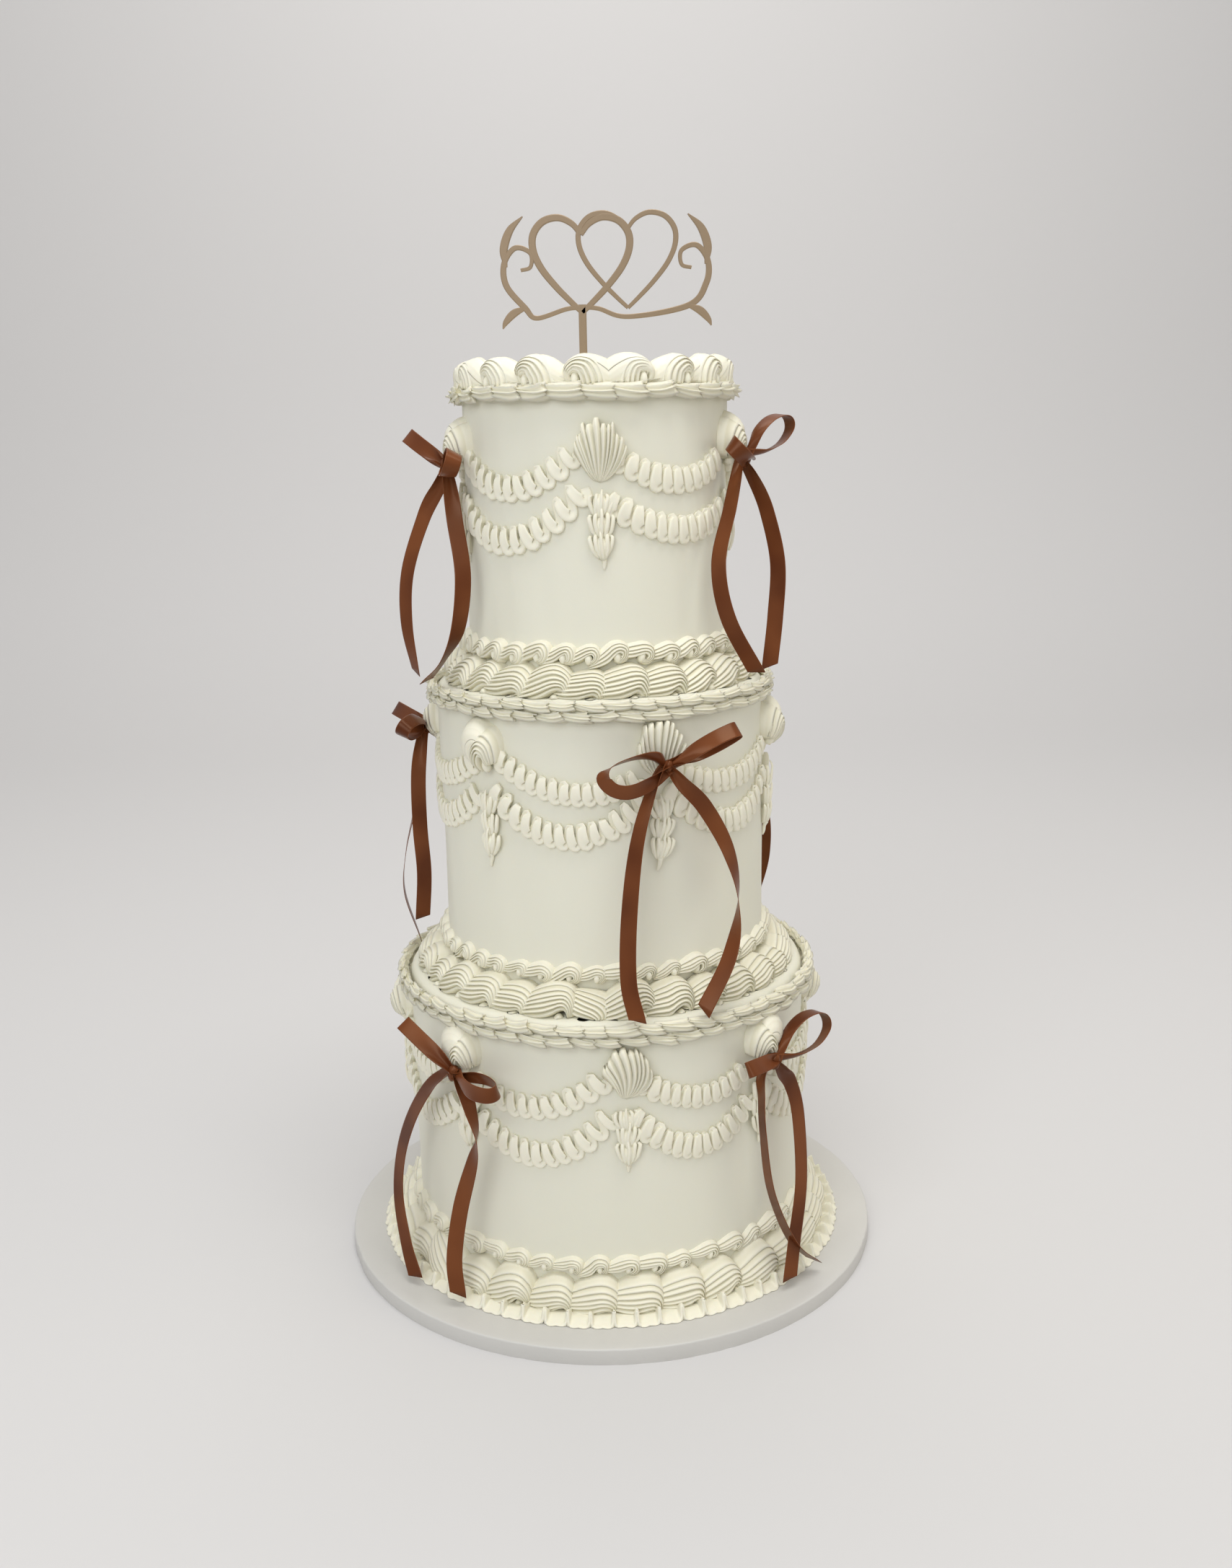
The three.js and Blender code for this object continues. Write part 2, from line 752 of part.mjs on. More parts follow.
// Half of a heart, from the dip at its top round the lobe to the point at its bottom. The outline is in
// shares of the heart's size.
function heartHalf([centreX, centreZ], side, thick) {
  const outline = [
    [0, 0.32],
    [0.3, 0.5],
    [0.56, 0.36],
    [0.52, 0.0],
    [0.26, -0.3],
    [0, -0.55],
  ];
  const { heartSize, heartPoint } = TOPPER;
  const points = outline.map(([x, z]) => [centreX + side * x * heartSize, centreZ + z * heartSize]);
  return strokeGeometry(points, heartPoint, thick, 6);
}

// One end of the topper: a scroll that curls in at its tip, with two leaves.
function scrollParts(side, foot) {
  const scroll = [
    [foot + side * 4, -19],
    [foot + side * 24, -28],
    [side * 54, -18],
    [side * 62, 4],
    [side * 50, 14],
    [side * 45, 4],
    [side * 52, 1],
  ];
  const leaves = [
    [[side * 54, -18], [side * 61, -26], [side * 63, -33]],
    [[side * 62, 4], [side * 60, 20], [side * 50, 31]],
  ];
  const { scrollStroke, leafStroke } = TOPPER;
  return [
    strokeGeometry(scroll, ...scrollStroke, 9),
    ...leaves.map((leaf) => strokeGeometry(leaf, ...leafStroke, 3)),
  ];
}

// Two linked hearts between scrolls with leaves, cut from one sheet with their stick.
function topperGeometry(tier) {
  const { thickness, stickWidth, stickDepth, stickTop, centreX, centreZ } = TOPPER;
  const { firstHeart, secondHeart, outerStroke, innerStroke } = TOPPER;
  const stickBottom = tier.top - stickDepth + GAP - centreZ;
  const stick = new THREE.BoxGeometry(stickWidth, stickTop - stickBottom, thickness);
  stick.translate(firstHeart[0], (stickTop + stickBottom) / 2, thickness / 2);
  const flat = joined([
    heartHalf(firstHeart, -1, outerStroke),
    heartHalf(firstHeart, 1, innerStroke),
    heartHalf(secondHeart, -1, innerStroke),
    heartHalf(secondHeart, 1, outerStroke),
    ...scrollParts(-1, firstHeart[0]),
    ...scrollParts(1, secondHeart[0]),
    stick,
  ]);
  return flat.rotateX(Math.PI / 2).translate(centreX, thickness / 2, centreZ);
}

// ---- The cake ----------------------------------------------------------------------------------

const cake = new THREE.Group();
cake.name = "tiered_wedding_cake";
cake.add(piece("board", boardGeometry(), covered));

let floor = BOARD.thickness + GAP;
TIERS.forEach((tier, n) => {
  const random = randomSource(31 + n);
  const { name } = tier;
  tier.floor = floor;
  tier.top = floor + tier.height;
  floor = tier.top + GAP;
  const body = name === "top" ? slottedTierGeometry(tier) : tierGeometry(tier);
  cake.add(piece(`tier_${name}`, body, icing));
  cake.add(piece(`rim_border_${name}`, rimGeometry(tier, random), piping));
  cake.add(piece(`base_shells_${name}`, baseShellsGeometry(tier, random), piping));
  cake.add(piece(`scroll_row_${name}`, scrollsGeometry(tier, random), piping));
  cake.add(piece(`garland_upper_${name}`, upperGarlandGeometry(tier, random), piping));
  cake.add(piece(`garland_lower_${name}`, lowerGarlandGeometry(tier, random), piping));
  tier.junctions.forEach((azimuth, k) => {
    cake.add(piece(`drop_${name}_${k + 1}`, dropGeometry(tier, azimuth), piping));
  });
});
const topTier = TIERS[TIERS.length - 1];
cake.add(piece("board_ruffle", ruffleGeometry(randomSource(7)), piping));
cake.add(piece("crown_shells", crownGeometry(topTier, randomSource(11)), piping));
BOWS.forEach((bow) => cake.add(piece(`bow_${bow.name}`, bowGeometry(bow), satin)));
cake.add(piece("topper", topperGeometry(topTier), gilt));

export default cake;
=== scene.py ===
"""A three-tier piped wedding cake on its covered board, with satin bows and a cut-out heart topper."""

import math

import bpy
import numpy as np
from mathutils import Matrix, Vector


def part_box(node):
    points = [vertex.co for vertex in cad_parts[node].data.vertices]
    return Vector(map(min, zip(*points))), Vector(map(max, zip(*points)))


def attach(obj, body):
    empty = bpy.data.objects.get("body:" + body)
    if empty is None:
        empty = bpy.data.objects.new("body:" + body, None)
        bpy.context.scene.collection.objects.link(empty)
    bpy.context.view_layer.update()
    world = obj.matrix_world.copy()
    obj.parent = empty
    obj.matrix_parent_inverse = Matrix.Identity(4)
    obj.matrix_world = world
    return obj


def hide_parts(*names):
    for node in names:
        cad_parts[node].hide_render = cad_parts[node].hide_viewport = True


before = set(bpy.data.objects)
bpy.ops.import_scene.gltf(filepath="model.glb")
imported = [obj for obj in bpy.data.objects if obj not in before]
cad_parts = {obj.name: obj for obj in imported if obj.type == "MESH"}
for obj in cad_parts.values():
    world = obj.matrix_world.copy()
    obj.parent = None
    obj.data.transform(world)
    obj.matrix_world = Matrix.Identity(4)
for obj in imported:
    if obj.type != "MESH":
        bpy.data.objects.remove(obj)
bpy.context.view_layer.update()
scene = bpy.context.scene


# ---- Camera, light and backdrop --------------------------
# A camera held level with the top tier and tipped down a little, soft ceiling light from the front,
# and a pale seamless sweep behind the table.

picture_height = 2174
focal_length = 2100
camera_pitch = math.radians(13.1)
camera_roll = math.radians(-1.1)
camera_yaw = math.radians(0.53)
camera_place = Vector((0, -0.970, 0.538))

camera_data = bpy.data.cameras.new("camera")
camera_data.sensor_width = 36
camera_data.lens = camera_data.sensor_width * focal_length / picture_height
camera = bpy.data.objects.new("camera", camera_data)
scene.collection.objects.link(camera)
along_floor = math.cos(camera_pitch)
sideways, ahead = math.sin(camera_yaw) * along_floor, math.cos(camera_yaw) * along_floor
forward = Vector((sideways, ahead, -math.sin(camera_pitch)))
level = Vector((math.cos(camera_yaw), -math.sin(camera_yaw), 0))
upright = level.cross(forward)
camera_right = math.cos(camera_roll) * level + math.sin(camera_roll) * upright
camera_up = math.cos(camera_roll) * upright - math.sin(camera_roll) * level
camera_turn = Matrix((camera_right, camera_up, -forward)).transposed().to_4x4()
camera.matrix_world = Matrix.Translation(camera_place) @ camera_turn
scene.camera = camera
scene.view_settings.view_transform = "Standard"


def soft_light(name, place, aim, size, power, colour):
    """A square softbox at place that faces aim."""
    data = bpy.data.lights.new(name, "AREA")
    data.shape = "SQUARE"
    data.size = size
    data.energy = power
    data.color = colour
    lamp = bpy.data.objects.new(name, data)
    scene.collection.objects.link(lamp)
    lamp.location = place
    lamp.rotation_euler = (Vector(aim) - Vector(place)).to_track_quat("-Z", "Y").to_euler()


soft_light("ceiling_light", (0.18, -0.45, 2.1), (0, 0, 0.3), 1.0, 16.5, (1.0, 0.985, 0.95))
soft_light("front_light", (-0.7, -1.7, 1.3), (0, 0, 0.3), 1.1, 12.5, (0.94, 0.975, 1.03))
soft_light("right_light", (1.9, -0.5, 0.9), (0, 0, 0.3), 1.0, 3.4, (1.0, 0.89, 0.72))
soft_light("backdrop_light", (0, 0.9, 2.3), (0, 2.3, 0.7), 1.2, 15.5, (1.0, 0.985, 0.96))


def fill(node, inputs):
    """Sets inputs of a node by their names."""
    for name, value in inputs.items():
        node.inputs[name].default_value = value


world = bpy.data.worlds.new("studio")
world.use_nodes = True
fill(world.node_tree.nodes["Background"], {"Color": (0.94, 0.935, 0.93, 1), "Strength": 0.59})
scene.world = world


def principled(name, colour, roughness):
    """A node material with a plain colour, and its shader."""
    material = bpy.data.materials.new(name)
    material.use_nodes = True
    shader = material.node_tree.nodes["Principled BSDF"]
    fill(shader, {"Base Color": (*colour, 1), "Roughness": roughness})
    return material, shader


sweep_profile = [(-3.0, 0), (1.3, 0), (1.7, 0.03), (2.0, 0.15), (2.2, 0.4), (2.3, 0.9), (2.3, 3.2)]
sweep_width = 4
sweep_mesh = bpy.data.meshes.new("sweep")
sweep_points = [(side * sweep_width, y, z) for y, z in sweep_profile for side in (-1, 1)]
sweep_faces = [(2 * k, 2 * k + 1, 2 * k + 3, 2 * k + 2) for k in range(len(sweep_profile) - 1)]
sweep_mesh.from_pydata(sweep_points, [], sweep_faces)
sweep_mesh.shade_smooth()
sweep_mesh.materials.append(principled("sweep_paper", (0.645, 0.635, 0.63), 0.85)[0])
sweep = bpy.data.objects.new("sweep", sweep_mesh)
scene.collection.objects.link(sweep)
sweep_round = sweep.modifiers.new("round", "SUBSURF")
sweep_round.render_levels = 3


# ---- Board -----------------------------------------------
# A 12 mm drum of pressed card wrapped in pearl-white embossed paper. The paper is folded down over
# the edge in small pleats, which show as faint upright creases.

board_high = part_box("board")[1]
board_radius = board_high.x * 1000
board_top = board_high.z * 1000
board_edge_round = 1.1
board_segments = 360
pleat_count = 70
pleat_width = 0.012
pleat_lowest = 0.5


def show(name, points, faces, finish):
    """A smooth mesh piece from points in millimetres."""
    mesh = bpy.data.meshes.new(name)
    mesh.from_pydata(np.asarray(points) * 0.001, [], faces)
    mesh.shade_smooth()
    mesh.materials.append(finish)
    piece = bpy.data.objects.new(name, mesh)
    scene.collection.objects.link(piece)
    return piece


def net(steps, around, first=0):
    """The point numbers of rings that are joined to a tube, and the quads between them."""
    index = np.arange(steps * around).reshape(steps, around) + first
    after = np.roll(index, -1, axis=1)
    return index, np.stack([index[:-1], after[:-1], after[1:], index[1:]], 2).reshape(-1, 4).tolist()


def turned(profile, segments, radius_change):
    """Points and faces of a profile of (radius, z), from the axis to the axis, turned round the cake."""
    azimuth = np.linspace(0, 2 * math.pi, segments, endpoint=False)
    rings = []
    for radius, z in profile[1:-1]:
        r = radius + radius_change(azimuth, z)
        rings.append(np.stack([r * np.sin(azimuth), -r * np.cos(azimuth), np.full(segments, z)], 1))
    points = np.concatenate([*rings, [(0, 0, profile[0][1]), (0, 0, profile[-1][1])]])
    index, quads = net(len(rings), segments)
    after = np.roll(index, -1, axis=1)
    under = [(int(b), int(a), len(points) - 2) for a, b in zip(index[0], after[0])]
    over = [(int(a), int(b), len(points) - 1) for a, b in zip(index[-1], after[-1])]
    return points, quads + under + over


def rounded_edge(radius, top, edge_round, degrees):
    """Places of a profile that goes over a rounded top edge, at angles from the side to the top."""
    return [
        (radius - edge_round * (1 - math.cos(a)), top - edge_round * (1 - math.sin(a)))
        for a in np.radians(degrees)
    ]


pleat_draw = np.random.default_rng(5)
pleat_places = np.sort(pleat_draw.uniform(0, 2 * math.pi, pleat_count))
pleat_depths = pleat_draw.uniform(0.05, 0.35, pleat_count)


def board_pleats(azimuth, z):
    """How far in the paper lies at each azimuth, where its edge is creased."""
    if z < pleat_lowest:
        return np.zeros_like(azimuth)
    away = (azimuth[:, None] - pleat_places[None] + math.pi) % (2 * math.pi) - math.pi
    return -(pleat_depths * np.exp(-((away / pleat_width) ** 2))).sum(1)


board_profile = [
    (0, 0),
    (board_radius - 2, 0),
    (board_radius - 0.4, 0.4),
    (board_radius - 0.1, 1.5),
    (board_radius, board_top * 0.5),
    *rounded_edge(board_radius, board_top, board_edge_round, [0, 30, 60, 90]),
    (board_radius - 6, board_top),
    (board_radius * 0.5, board_top),
    (0, board_top),
]
board_points, board_faces = turned(board_profile, board_segments, board_pleats)


def noise(tree, scale, detail):
    """Noise in object space."""
    place = tree.nodes.new("ShaderNodeTexCoord")
    texture = tree.nodes.new("ShaderNodeTexNoise")
    fill(texture, {"Scale": scale, "Detail": detail})
    tree.links.new(place.outputs["Object"], texture.inputs["Vector"])
    return texture


def blend(tree, factor, first, second, shader):
    """A mix of two colours by a factor, fed into a shader's colour."""
    mix = tree.nodes.new("ShaderNodeMix")
    mix.data_type = "RGBA"
    fill(mix, {"A": (*first, 1), "B": (*second, 1)})
    tree.links.new(factor, mix.inputs["Factor"])
    tree.links.new(mix.outputs["Result"], shader.inputs["Base Color"])
    return mix


def relieve(tree, height, distance, strength, shader):
    """A bump made of a height, fed into a shader's normal."""
    bump = tree.nodes.new("ShaderNodeBump")
    fill(bump, {"Distance": distance, "Strength": strength})
    tree.links.new(height, bump.inputs["Height"])
    tree.links.new(bump.outputs["Normal"], shader.inputs["Normal"])


board_paper, board_shader = principled("board_paper", (0.66, 0.65, 0.64), 0.42)
board_tree = board_paper.node_tree
board_scuffs = noise(board_tree, 9, 5).outputs["Fac"]
board_emboss = noise(board_tree, 420, 2).outputs["Fac"]
blend(board_tree, board_scuffs, (0.55, 0.54, 0.51), (0.65, 0.635, 0.60), board_shader)
relieve(board_tree, board_emboss, 0.0003, 0.35, board_shader)

board = show("covered_board", board_points, board_faces, board_paper)
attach(board, "root")
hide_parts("board")


# ---- Tiers -----------------------------------------------
# Three round cakes of tall layers, each coated in smooth ivory icing that was scraped by hand, which
# leaves wide soft waves in the side and a rounded top edge. They stand on each other.

tier_names = ("bottom", "middle", "top")
tiers = {}
for name in tier_names:
    low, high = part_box("tier_" + name)
    tiers[name] = {"radius": high.x * 1000, "floor": low.z * 1000, "top": high.z * 1000}
tier_segments = 240
tier_edge_round = 6
scrape_waves = [(3, 0.30, 0.4), (7, 0.24, 1.7), (13, 0.16, 4.1), (22, 0.10, 2.9), (35, 0.06, 1.1)]
cloud_scale = 14


def scraped(azimuth, z):
    """How far the icing stands out from a true round at each azimuth, drifting slowly with height."""
    return sum(
        depth * np.sin(waves * azimuth + start + z * 0.013 * (1 + waves % 3))
        for waves, depth, start in scrape_waves
    )


icing_grain = bpy.data.node_groups.new("icing_grain", "ShaderNodeTree")
icing_grain.interface.new_socket("Pore Scale", in_out="INPUT", socket_type="NodeSocketFloat")
icing_grain.interface.new_socket("Height", in_out="OUTPUT", socket_type="NodeSocketFloat")
icing_grain.interface.new_socket("Cloud", in_out="OUTPUT", socket_type="NodeSocketFloat")
grain_in = icing_grain.nodes.new("NodeGroupInput")
grain_out = icing_grain.nodes.new("NodeGroupOutput")
grain_pores = noise(icing_grain, 1, 3)
grain_cloud = noise(icing_grain, cloud_scale, 2)
icing_grain.links.new(grain_in.outputs["Pore Scale"], grain_pores.inputs["Scale"])
icing_grain.links.new(grain_pores.outputs["Fac"], grain_out.inputs["Height"])
icing_grain.links.new(grain_cloud.outputs["Fac"], grain_out.inputs["Cloud"])


def icing(name, light, shade, roughness, pore_scale, pore_depth):
    """Buttercream: two close tones in soft clouds under a very fine grain. Returns its shader and its
    colour mix too."""
    material, shader = principled(name, light, roughness)
    fill(shader, {"Subsurface Weight": 0.12, "Subsurface Radius": (0.004, 0.003, 0.0018)})
    grain = material.node_tree.nodes.new("ShaderNodeGroup")
    grain.node_tree = icing_grain
    fill(grain, {"Pore Scale": pore_scale})
    tone = blend(material.node_tree, grain.outputs["Cloud"], shade, light, shader)
    relieve(material.node_tree, grain.outputs["Height"], pore_depth, 0.4, shader)
    return material, shader, tone


tier_icing = icing("tier_icing", (0.80, 0.785, 0.665), (0.77, 0.755, 0.63), 0.55, 260, 0.0002)[0]

for name, tier in tiers.items():
    radius, top = tier["radius"], tier["top"]
    profile = [
        (0, tier["floor"]),
        *[(radius, z) for z in np.linspace(tier["floor"], top - tier_edge_round, 14)],
        *rounded_edge(radius, top, tier_edge_round, [18, 36, 54, 72, 90]),
        (radius * 0.5, top),
        (0, top),
    ]
    tier_points, tier_faces = turned(profile, tier_segments, scraped)
    body = show("iced_tier_" + name, tier_points, tier_faces, tier_icing)
    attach(body, "root")
    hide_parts("tier_" + name)


# ---- Base shells -----------------------------------------
# A ring of large shells at the foot of each tier, piped from a many-toothed star tip. Each swells
# from a tail at the left, rides over, and curls down round a nub at the lower right. A few have
# slumped over.

piping_light = (0.87, 0.842, 0.70)
piping_shade = (0.84, 0.81, 0.665)
# The groove colour below is painted shade: a darker olive cream tinted into the hollows and gaps of the
# piping, where shade falls.
groove_shade_colour = (0.69, 0.65, 0.46)
base_rows = {
    "bottom": {"count": 32, "lean": 10, "out": 3.4, "sunk": 0.5, "size": 1.07},
    "middle": {"count": 30, "lean": 28, "out": 8.0, "sunk": 4.5, "size": 1.02},
    "top": {"count": 24, "lean": 25, "out": 5.0, "sunk": 4.5, "size": 1.06},
}
base_shell = [
    (-17.5, 5.8, -17.0, 2.0, 4.5), (-14.0, 11.2, -12.5, -1.0, 8.8), (-8.0, 17.2, -7.0, -2.6, 11.8),
    (0.0, 21.6, -1.0, -2.4, 13.4), (8.0, 22.4, 3.4, -0.4, 14.0), (13.8, 17.8, 6.6, 1.8, 13.8),
    (16.2, 10.6, 9.2, 1.6, 12.4), (15.8, 3.4, 10.2, -0.8, 10.0), (13.2, -2.4, 9.6, -3.0, 6.6),
]
base_nub = [(6.0, -3.8, 5.0, 1.8), (6.4, -2.0, 6.2, 2.6), (6.7, -0.4, 6.0, 2.3), (6.8, 1.2, 5.0, 0.9)]
base_steps = 20
base_bands = 7
base_groove = 2.7
base_plain = 0.16
base_pivot = 8
slumped_share = 0.12
slumped_turn = -42

piping_look = icing("piping_icing", piping_light, piping_shade, 0.5, 420, 0.00012)
piping_icing, piping_shader, piping_tone = piping_look
piping_tree = piping_icing.node_tree
# The piping's colour is darkened towards the groove colour by the point mask "groove". This is painted shade,
# deepest in the valleys between ridges and also on the backs of strokes.
groove_shade_mask = piping_tree.nodes.new("ShaderNodeAttribute")
groove_shade_mask.attribute_name = "groove"
groove_shade_tint = blend(piping_tree, groove_shade_mask.outputs["Fac"], piping_light, groove_shade_colour, piping_shader)
piping_tree.links.new(piping_tone.outputs["Result"], groove_shade_tint.inputs["A"])


def through(stations, steps):
    """Rows of numbers spread evenly along a smooth curve through the stations."""
    rows = np.asarray(stations, float)
    padded = np.concatenate([2 * rows[:1] - rows[1:2], rows, 2 * rows[-1:] - rows[-2:-1]])
    place = np.linspace(0, len(rows) - 1, steps)
    k = np.minimum(place.astype(int), len(rows) - 2)
    t = (place - k)[:, None]
    a, b, c, d = (padded[k + i] for i in range(4))
    return 0.5 * (2 * b + (c - a) * t + (2 * a - 5 * b + 4 * c - d) * t**2 + (3 * b - a - 3 * c + d) * t**3)


def unit(vectors):
    """Vectors brought to a length of one."""
    return vectors / np.linalg.norm(vectors, axis=-1, keepdims=True)


def by_hand(stations, size, wander, draw):
    """The stations of one shell of a size, with its two edges moved by up to the wander."""
    stations = np.array(stations) * size
    stations[:, :4] += draw.uniform(-wander, wander, (len(stations), 4))
    return stations


band_places = (0, 0.16, 0.38, 0.66, 0.88)
band_grooves = (1.0, 0.62, 0.12, 0.04, 0.52)
swell_places = (0, 0.04, 0.1, 0.22, 0.4, 0.6, 0.8, 0.93, 1)
swell_heights = (0, 0.3, 0.5, 0.76, 0.94, 1, 0.98, 0.88, 0.6)
back_sunk = 1.2


def curled(stations, steps, bands, depth, plain, draw):
    """Rings of one shell that curls round itself. Its bands of icing lie side by side between an outer
    and an inner edge. Each station is the outer edge (across, up), the inner edge (across, up) and how
    far the shell stands out there. Each band rises to a crisp inner edge. Next to the outer edge, as
    far as half the plain share, they are nearly smoothed away."""
    rows = through(stations, steps)
    outer, inner, lift = rows[:, :2], rows[:, 2:4], rows[:, 4]
    tooth = 0.9 / bands
    places, groove = [0.0, 0.04], [0.0, 0.0]
    for k in range(bands):
        start = 0.1 + (k + draw.uniform(-0.12, 0.12)) * tooth
        places += [start + tooth * place for place in band_places]
        groove += band_grooves
    places = np.array(places + [1.0])
    groove = np.array(groove + [0.7]) * (0.1 + 0.9 * np.clip(2 * places / plain - 1, 0, 1))
    width = np.linalg.norm(outer - inner, axis=1)
    relief = (depth * np.clip(width / width.max() * 1.6, 0.15, 1))[:, None] * groove
    widened = places ** (1 - 0.18 * (width / width.max()) ** 2)[:, None]
    front = outer[:, None] * (1 - widened)[..., None] + inner[:, None] * widened[..., None]
    front = front + ((outer - inner) / width[:, None])[:, None] * (relief * 0.5)[..., None]
    out = lift[:, None] * np.interp(places, swell_places, swell_heights) - relief
    plan = np.concatenate([front, np.stack([inner, outer], 1)], 1)
    out = np.concatenate([out, np.full((steps, 2), -back_sunk)], 1)
    rings = np.concatenate([plan, out[..., None]], 2)
    return rings, np.broadcast_to(np.append(groove, (0.5, 0.5)), rings.shape[:2])


def piped(stations, steps, tip, depth, flat=1.0, twist=0.0):
    """Rings of one stroke of icing. Each station is across, up, out and the radius of the icing.
    The ridges run along the stroke, as deep as the given share of its radius. The section turns by
    the twist, in degrees, from one end to the other."""
    rows = through(stations, steps)
    centre, radius = rows[:, :3], np.maximum(rows[:, 3], 0.15)
    along = unit(np.gradient(centre, axis=0))
    outwards = unit(np.array((0, 0, 1.0)) - along * along[:, 2:3])
    sideways = np.cross(along, outwards)
    angles, groove, reach = tip
    turned_by = angles[None] + np.radians(np.linspace(-twist / 2, twist / 2, steps))[:, None]
    share = radius[:, None] * (1 - depth * groove[None]) * reach[None]
    rings = (
        centre[:, None]
        + (share * np.cos(turned_by) * flat)[..., None] * outwards[:, None]
        + (share * np.sin(turned_by))[..., None] * sideways[:, None]
    )
    return rings, np.broadcast_to(groove * 0.5, share.shape)


round_tip = (np.radians([-90, -60, -30, 0, 30, 60, 90, 125, 235]), np.zeros(9), np.ones(9))


def lean(rings, degrees):
    """Tips local points back about the across axis, so that they face upwards by that much."""
    a = math.radians(degrees)
    up = rings[..., 1] * math.cos(a) + rings[..., 2] * math.sin(a)
    out = rings[..., 2] * math.cos(a) - rings[..., 1] * math.sin(a)
    return np.stack([rings[..., 0], up, out], -1)


def swing(rings, degrees):
    """Turns local points in the face of the cake, leftwards for a positive angle."""
    a = np.radians(degrees)
    across = rings[..., 0] * np.cos(a) - rings[..., 1] * np.sin(a)
    up = rings[..., 1] * np.cos(a) + rings[..., 0] * np.sin(a)
    return np.stack([across, up, rings[..., 2]], -1)


def on_side(rings, azimuth, radius, height):
    """Bends local points (across, up, out) round the side of the cake at an azimuth in degrees."""
    turn = math.radians(azimuth) + rings[..., 0] / radius
    out = radius + rings[..., 2]
    return np.stack([out * np.sin(turn), -out * np.cos(turn), height + rings[..., 1]], -1)


def tubes(name, all_rings, finish):
    """One piece made of tubes with capped ends, each given as its rings of points."""
    faces, count = [], 0
    for rings in all_rings:
        steps, around = rings.shape[:2]
        index, quads = net(steps, around, count)
        faces += quads + [index[0, ::-1].tolist(), index[-1].tolist()]
        count += steps * around
    return show(name, np.concatenate([rings.reshape(-1, 3) for rings in all_rings]), faces, finish)


def mark(piece, mask_name, masks):
    """Gives the points of a piece a mask that its finish reads."""
    mask = piece.data.attributes.new(mask_name, "FLOAT", "POINT")
    mask.data.foreach_set("value", np.concatenate([np.ravel(part) for part in masks]).astype(np.float32))


def piping(name, strokes):
    """One piece made of strokes of icing, each given as its rings and the mask of painted groove shade for
    its points.
    """
    piece = tubes(name, [rings for rings, groove in strokes], piping_icing)
    mark(piece, "groove", [groove for rings, groove in strokes])
    return piece


def each_tier(plans, seed):
    """The name, the plan, the sizes and the random numbers of each tier."""
    for number, name in enumerate(tier_names):
        yield name, plans[name], tiers[name], np.random.default_rng(seed + number)


for name, row, tier, draw in each_tier(base_rows, 40):
    strokes = []
    for k in range(row["count"]):
        stations = by_hand(base_shell, row["size"] * (1 + draw.uniform(-0.08, 0.08)), 0.5, draw)
        stations[:, 4] *= 1 + draw.uniform(-0.06, 0.06)
        body = curled(stations, base_steps, base_bands, base_groove, base_plain, draw)
        turn = slumped_turn if draw.uniform() < slumped_share else 0
        turn += draw.uniform(-13, 13)
        azimuth = (k + 0.5) * 360 / row["count"] + draw.uniform(-0.5, 0.5)
        nub = piped(np.array(base_nub) * row["size"], 6, round_tip, 0, flat=1.7)
        for rings, groove in (body, nub):
            rings = swing(rings - (0, base_pivot, 0), turn) + (0, base_pivot - row["sunk"], 0)
            rings = lean(rings, row["lean"]) + (0, 0, row["out"])
            rings = on_side(rings, azimuth, tier["radius"], tier["floor"])
            rings[..., 2] = np.maximum(rings[..., 2], tier["floor"] - 0.2)
            strokes.append((rings, groove))
    shells = piping("piped_base_shells_" + name, strokes)
    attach(shells, "root")
    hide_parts("base_shells_" + name)


# ---- Scroll rows -----------------------------------------
# A small scroll border against the side just above the base shells: each scroll humps over like a
# breaking wave, hooks in round a small eye at its right end, and starts under the curl before it.

scroll_rows = {
    "bottom": {"count": 48, "height": 40.0, "size": 0.98},
    "middle": {"count": 41, "height": 218.6, "size": 0.98},
    "top": {"count": 33, "height": 409.8, "size": 1.12},
}
scroll = [
    (-13.6, -0.6, -13.0, -4.6, 2.6), (-9.0, 2.0, -8.0, -4.8, 4.2), (-3.8, 5.0, -3.2, -4.0, 5.4),
    (1.8, 6.8, 0.2, -2.2, 6.2), (6.6, 5.4, 2.4, -1.0, 6.6), (9.0, 1.6, 3.6, -1.6, 6.4),
    (8.6, -2.8, 3.4, -2.8, 5.8), (5.8, -6.0, 2.0, -3.6, 4.8), (1.6, -5.8, 0.8, -2.4, 4.0),
    (-0.8, -3.4, 0.6, -1.8, 3.2),
]
scroll_eye = [(1.4, -4.8, 1.8, 1.2), (1.5, -3.0, 2.2, 2.0), (1.6, -1.2, 2.2, 2.0), (1.6, 0.4, 1.6, 0.8)]
scroll_steps = 20
scroll_bands = 4
scroll_groove = 1.9
scroll_plain = 0.25
scroll_lean = 12

for name, row, tier, draw in each_tier(scroll_rows, 50):
    strokes = []
    for k in range(row["count"]):
        stations = by_hand(scroll, row["size"] * (1 + draw.uniform(-0.16, 0.16)), 0.4, draw)
        body = curled(stations, scroll_steps, scroll_bands, scroll_groove, scroll_plain, draw)
        azimuth = (k + 0.5) * 360 / row["count"] + draw.uniform(-0.6, 0.6)
        height = row["height"] + draw.uniform(-0.8, 0.8)
        turn = draw.uniform(-16, 16)
        eye = piped(np.array(scroll_eye) * row["size"], 6, round_tip, 0, flat=1.5)
        for rings, groove in (body, eye):
            rings = lean(swing(rings, turn), scroll_lean)
            strokes.append((on_side(rings, azimuth, tier["radius"], height), groove))
    scrolls = piping("piped_scroll_row_" + name, strokes)
    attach(scrolls, "root")
    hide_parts("scroll_row_" + name)


# ---- Rim borders -----------------------------------------
# Shells from an open star tip round each top edge, in two rows. On the lower tiers both are small and
# on the side. On the top tier they are large, and one lies back over the edge. Every shell swells to
# the right and ends bluntly over the start of the next, like scales, with thin sharp ridges.

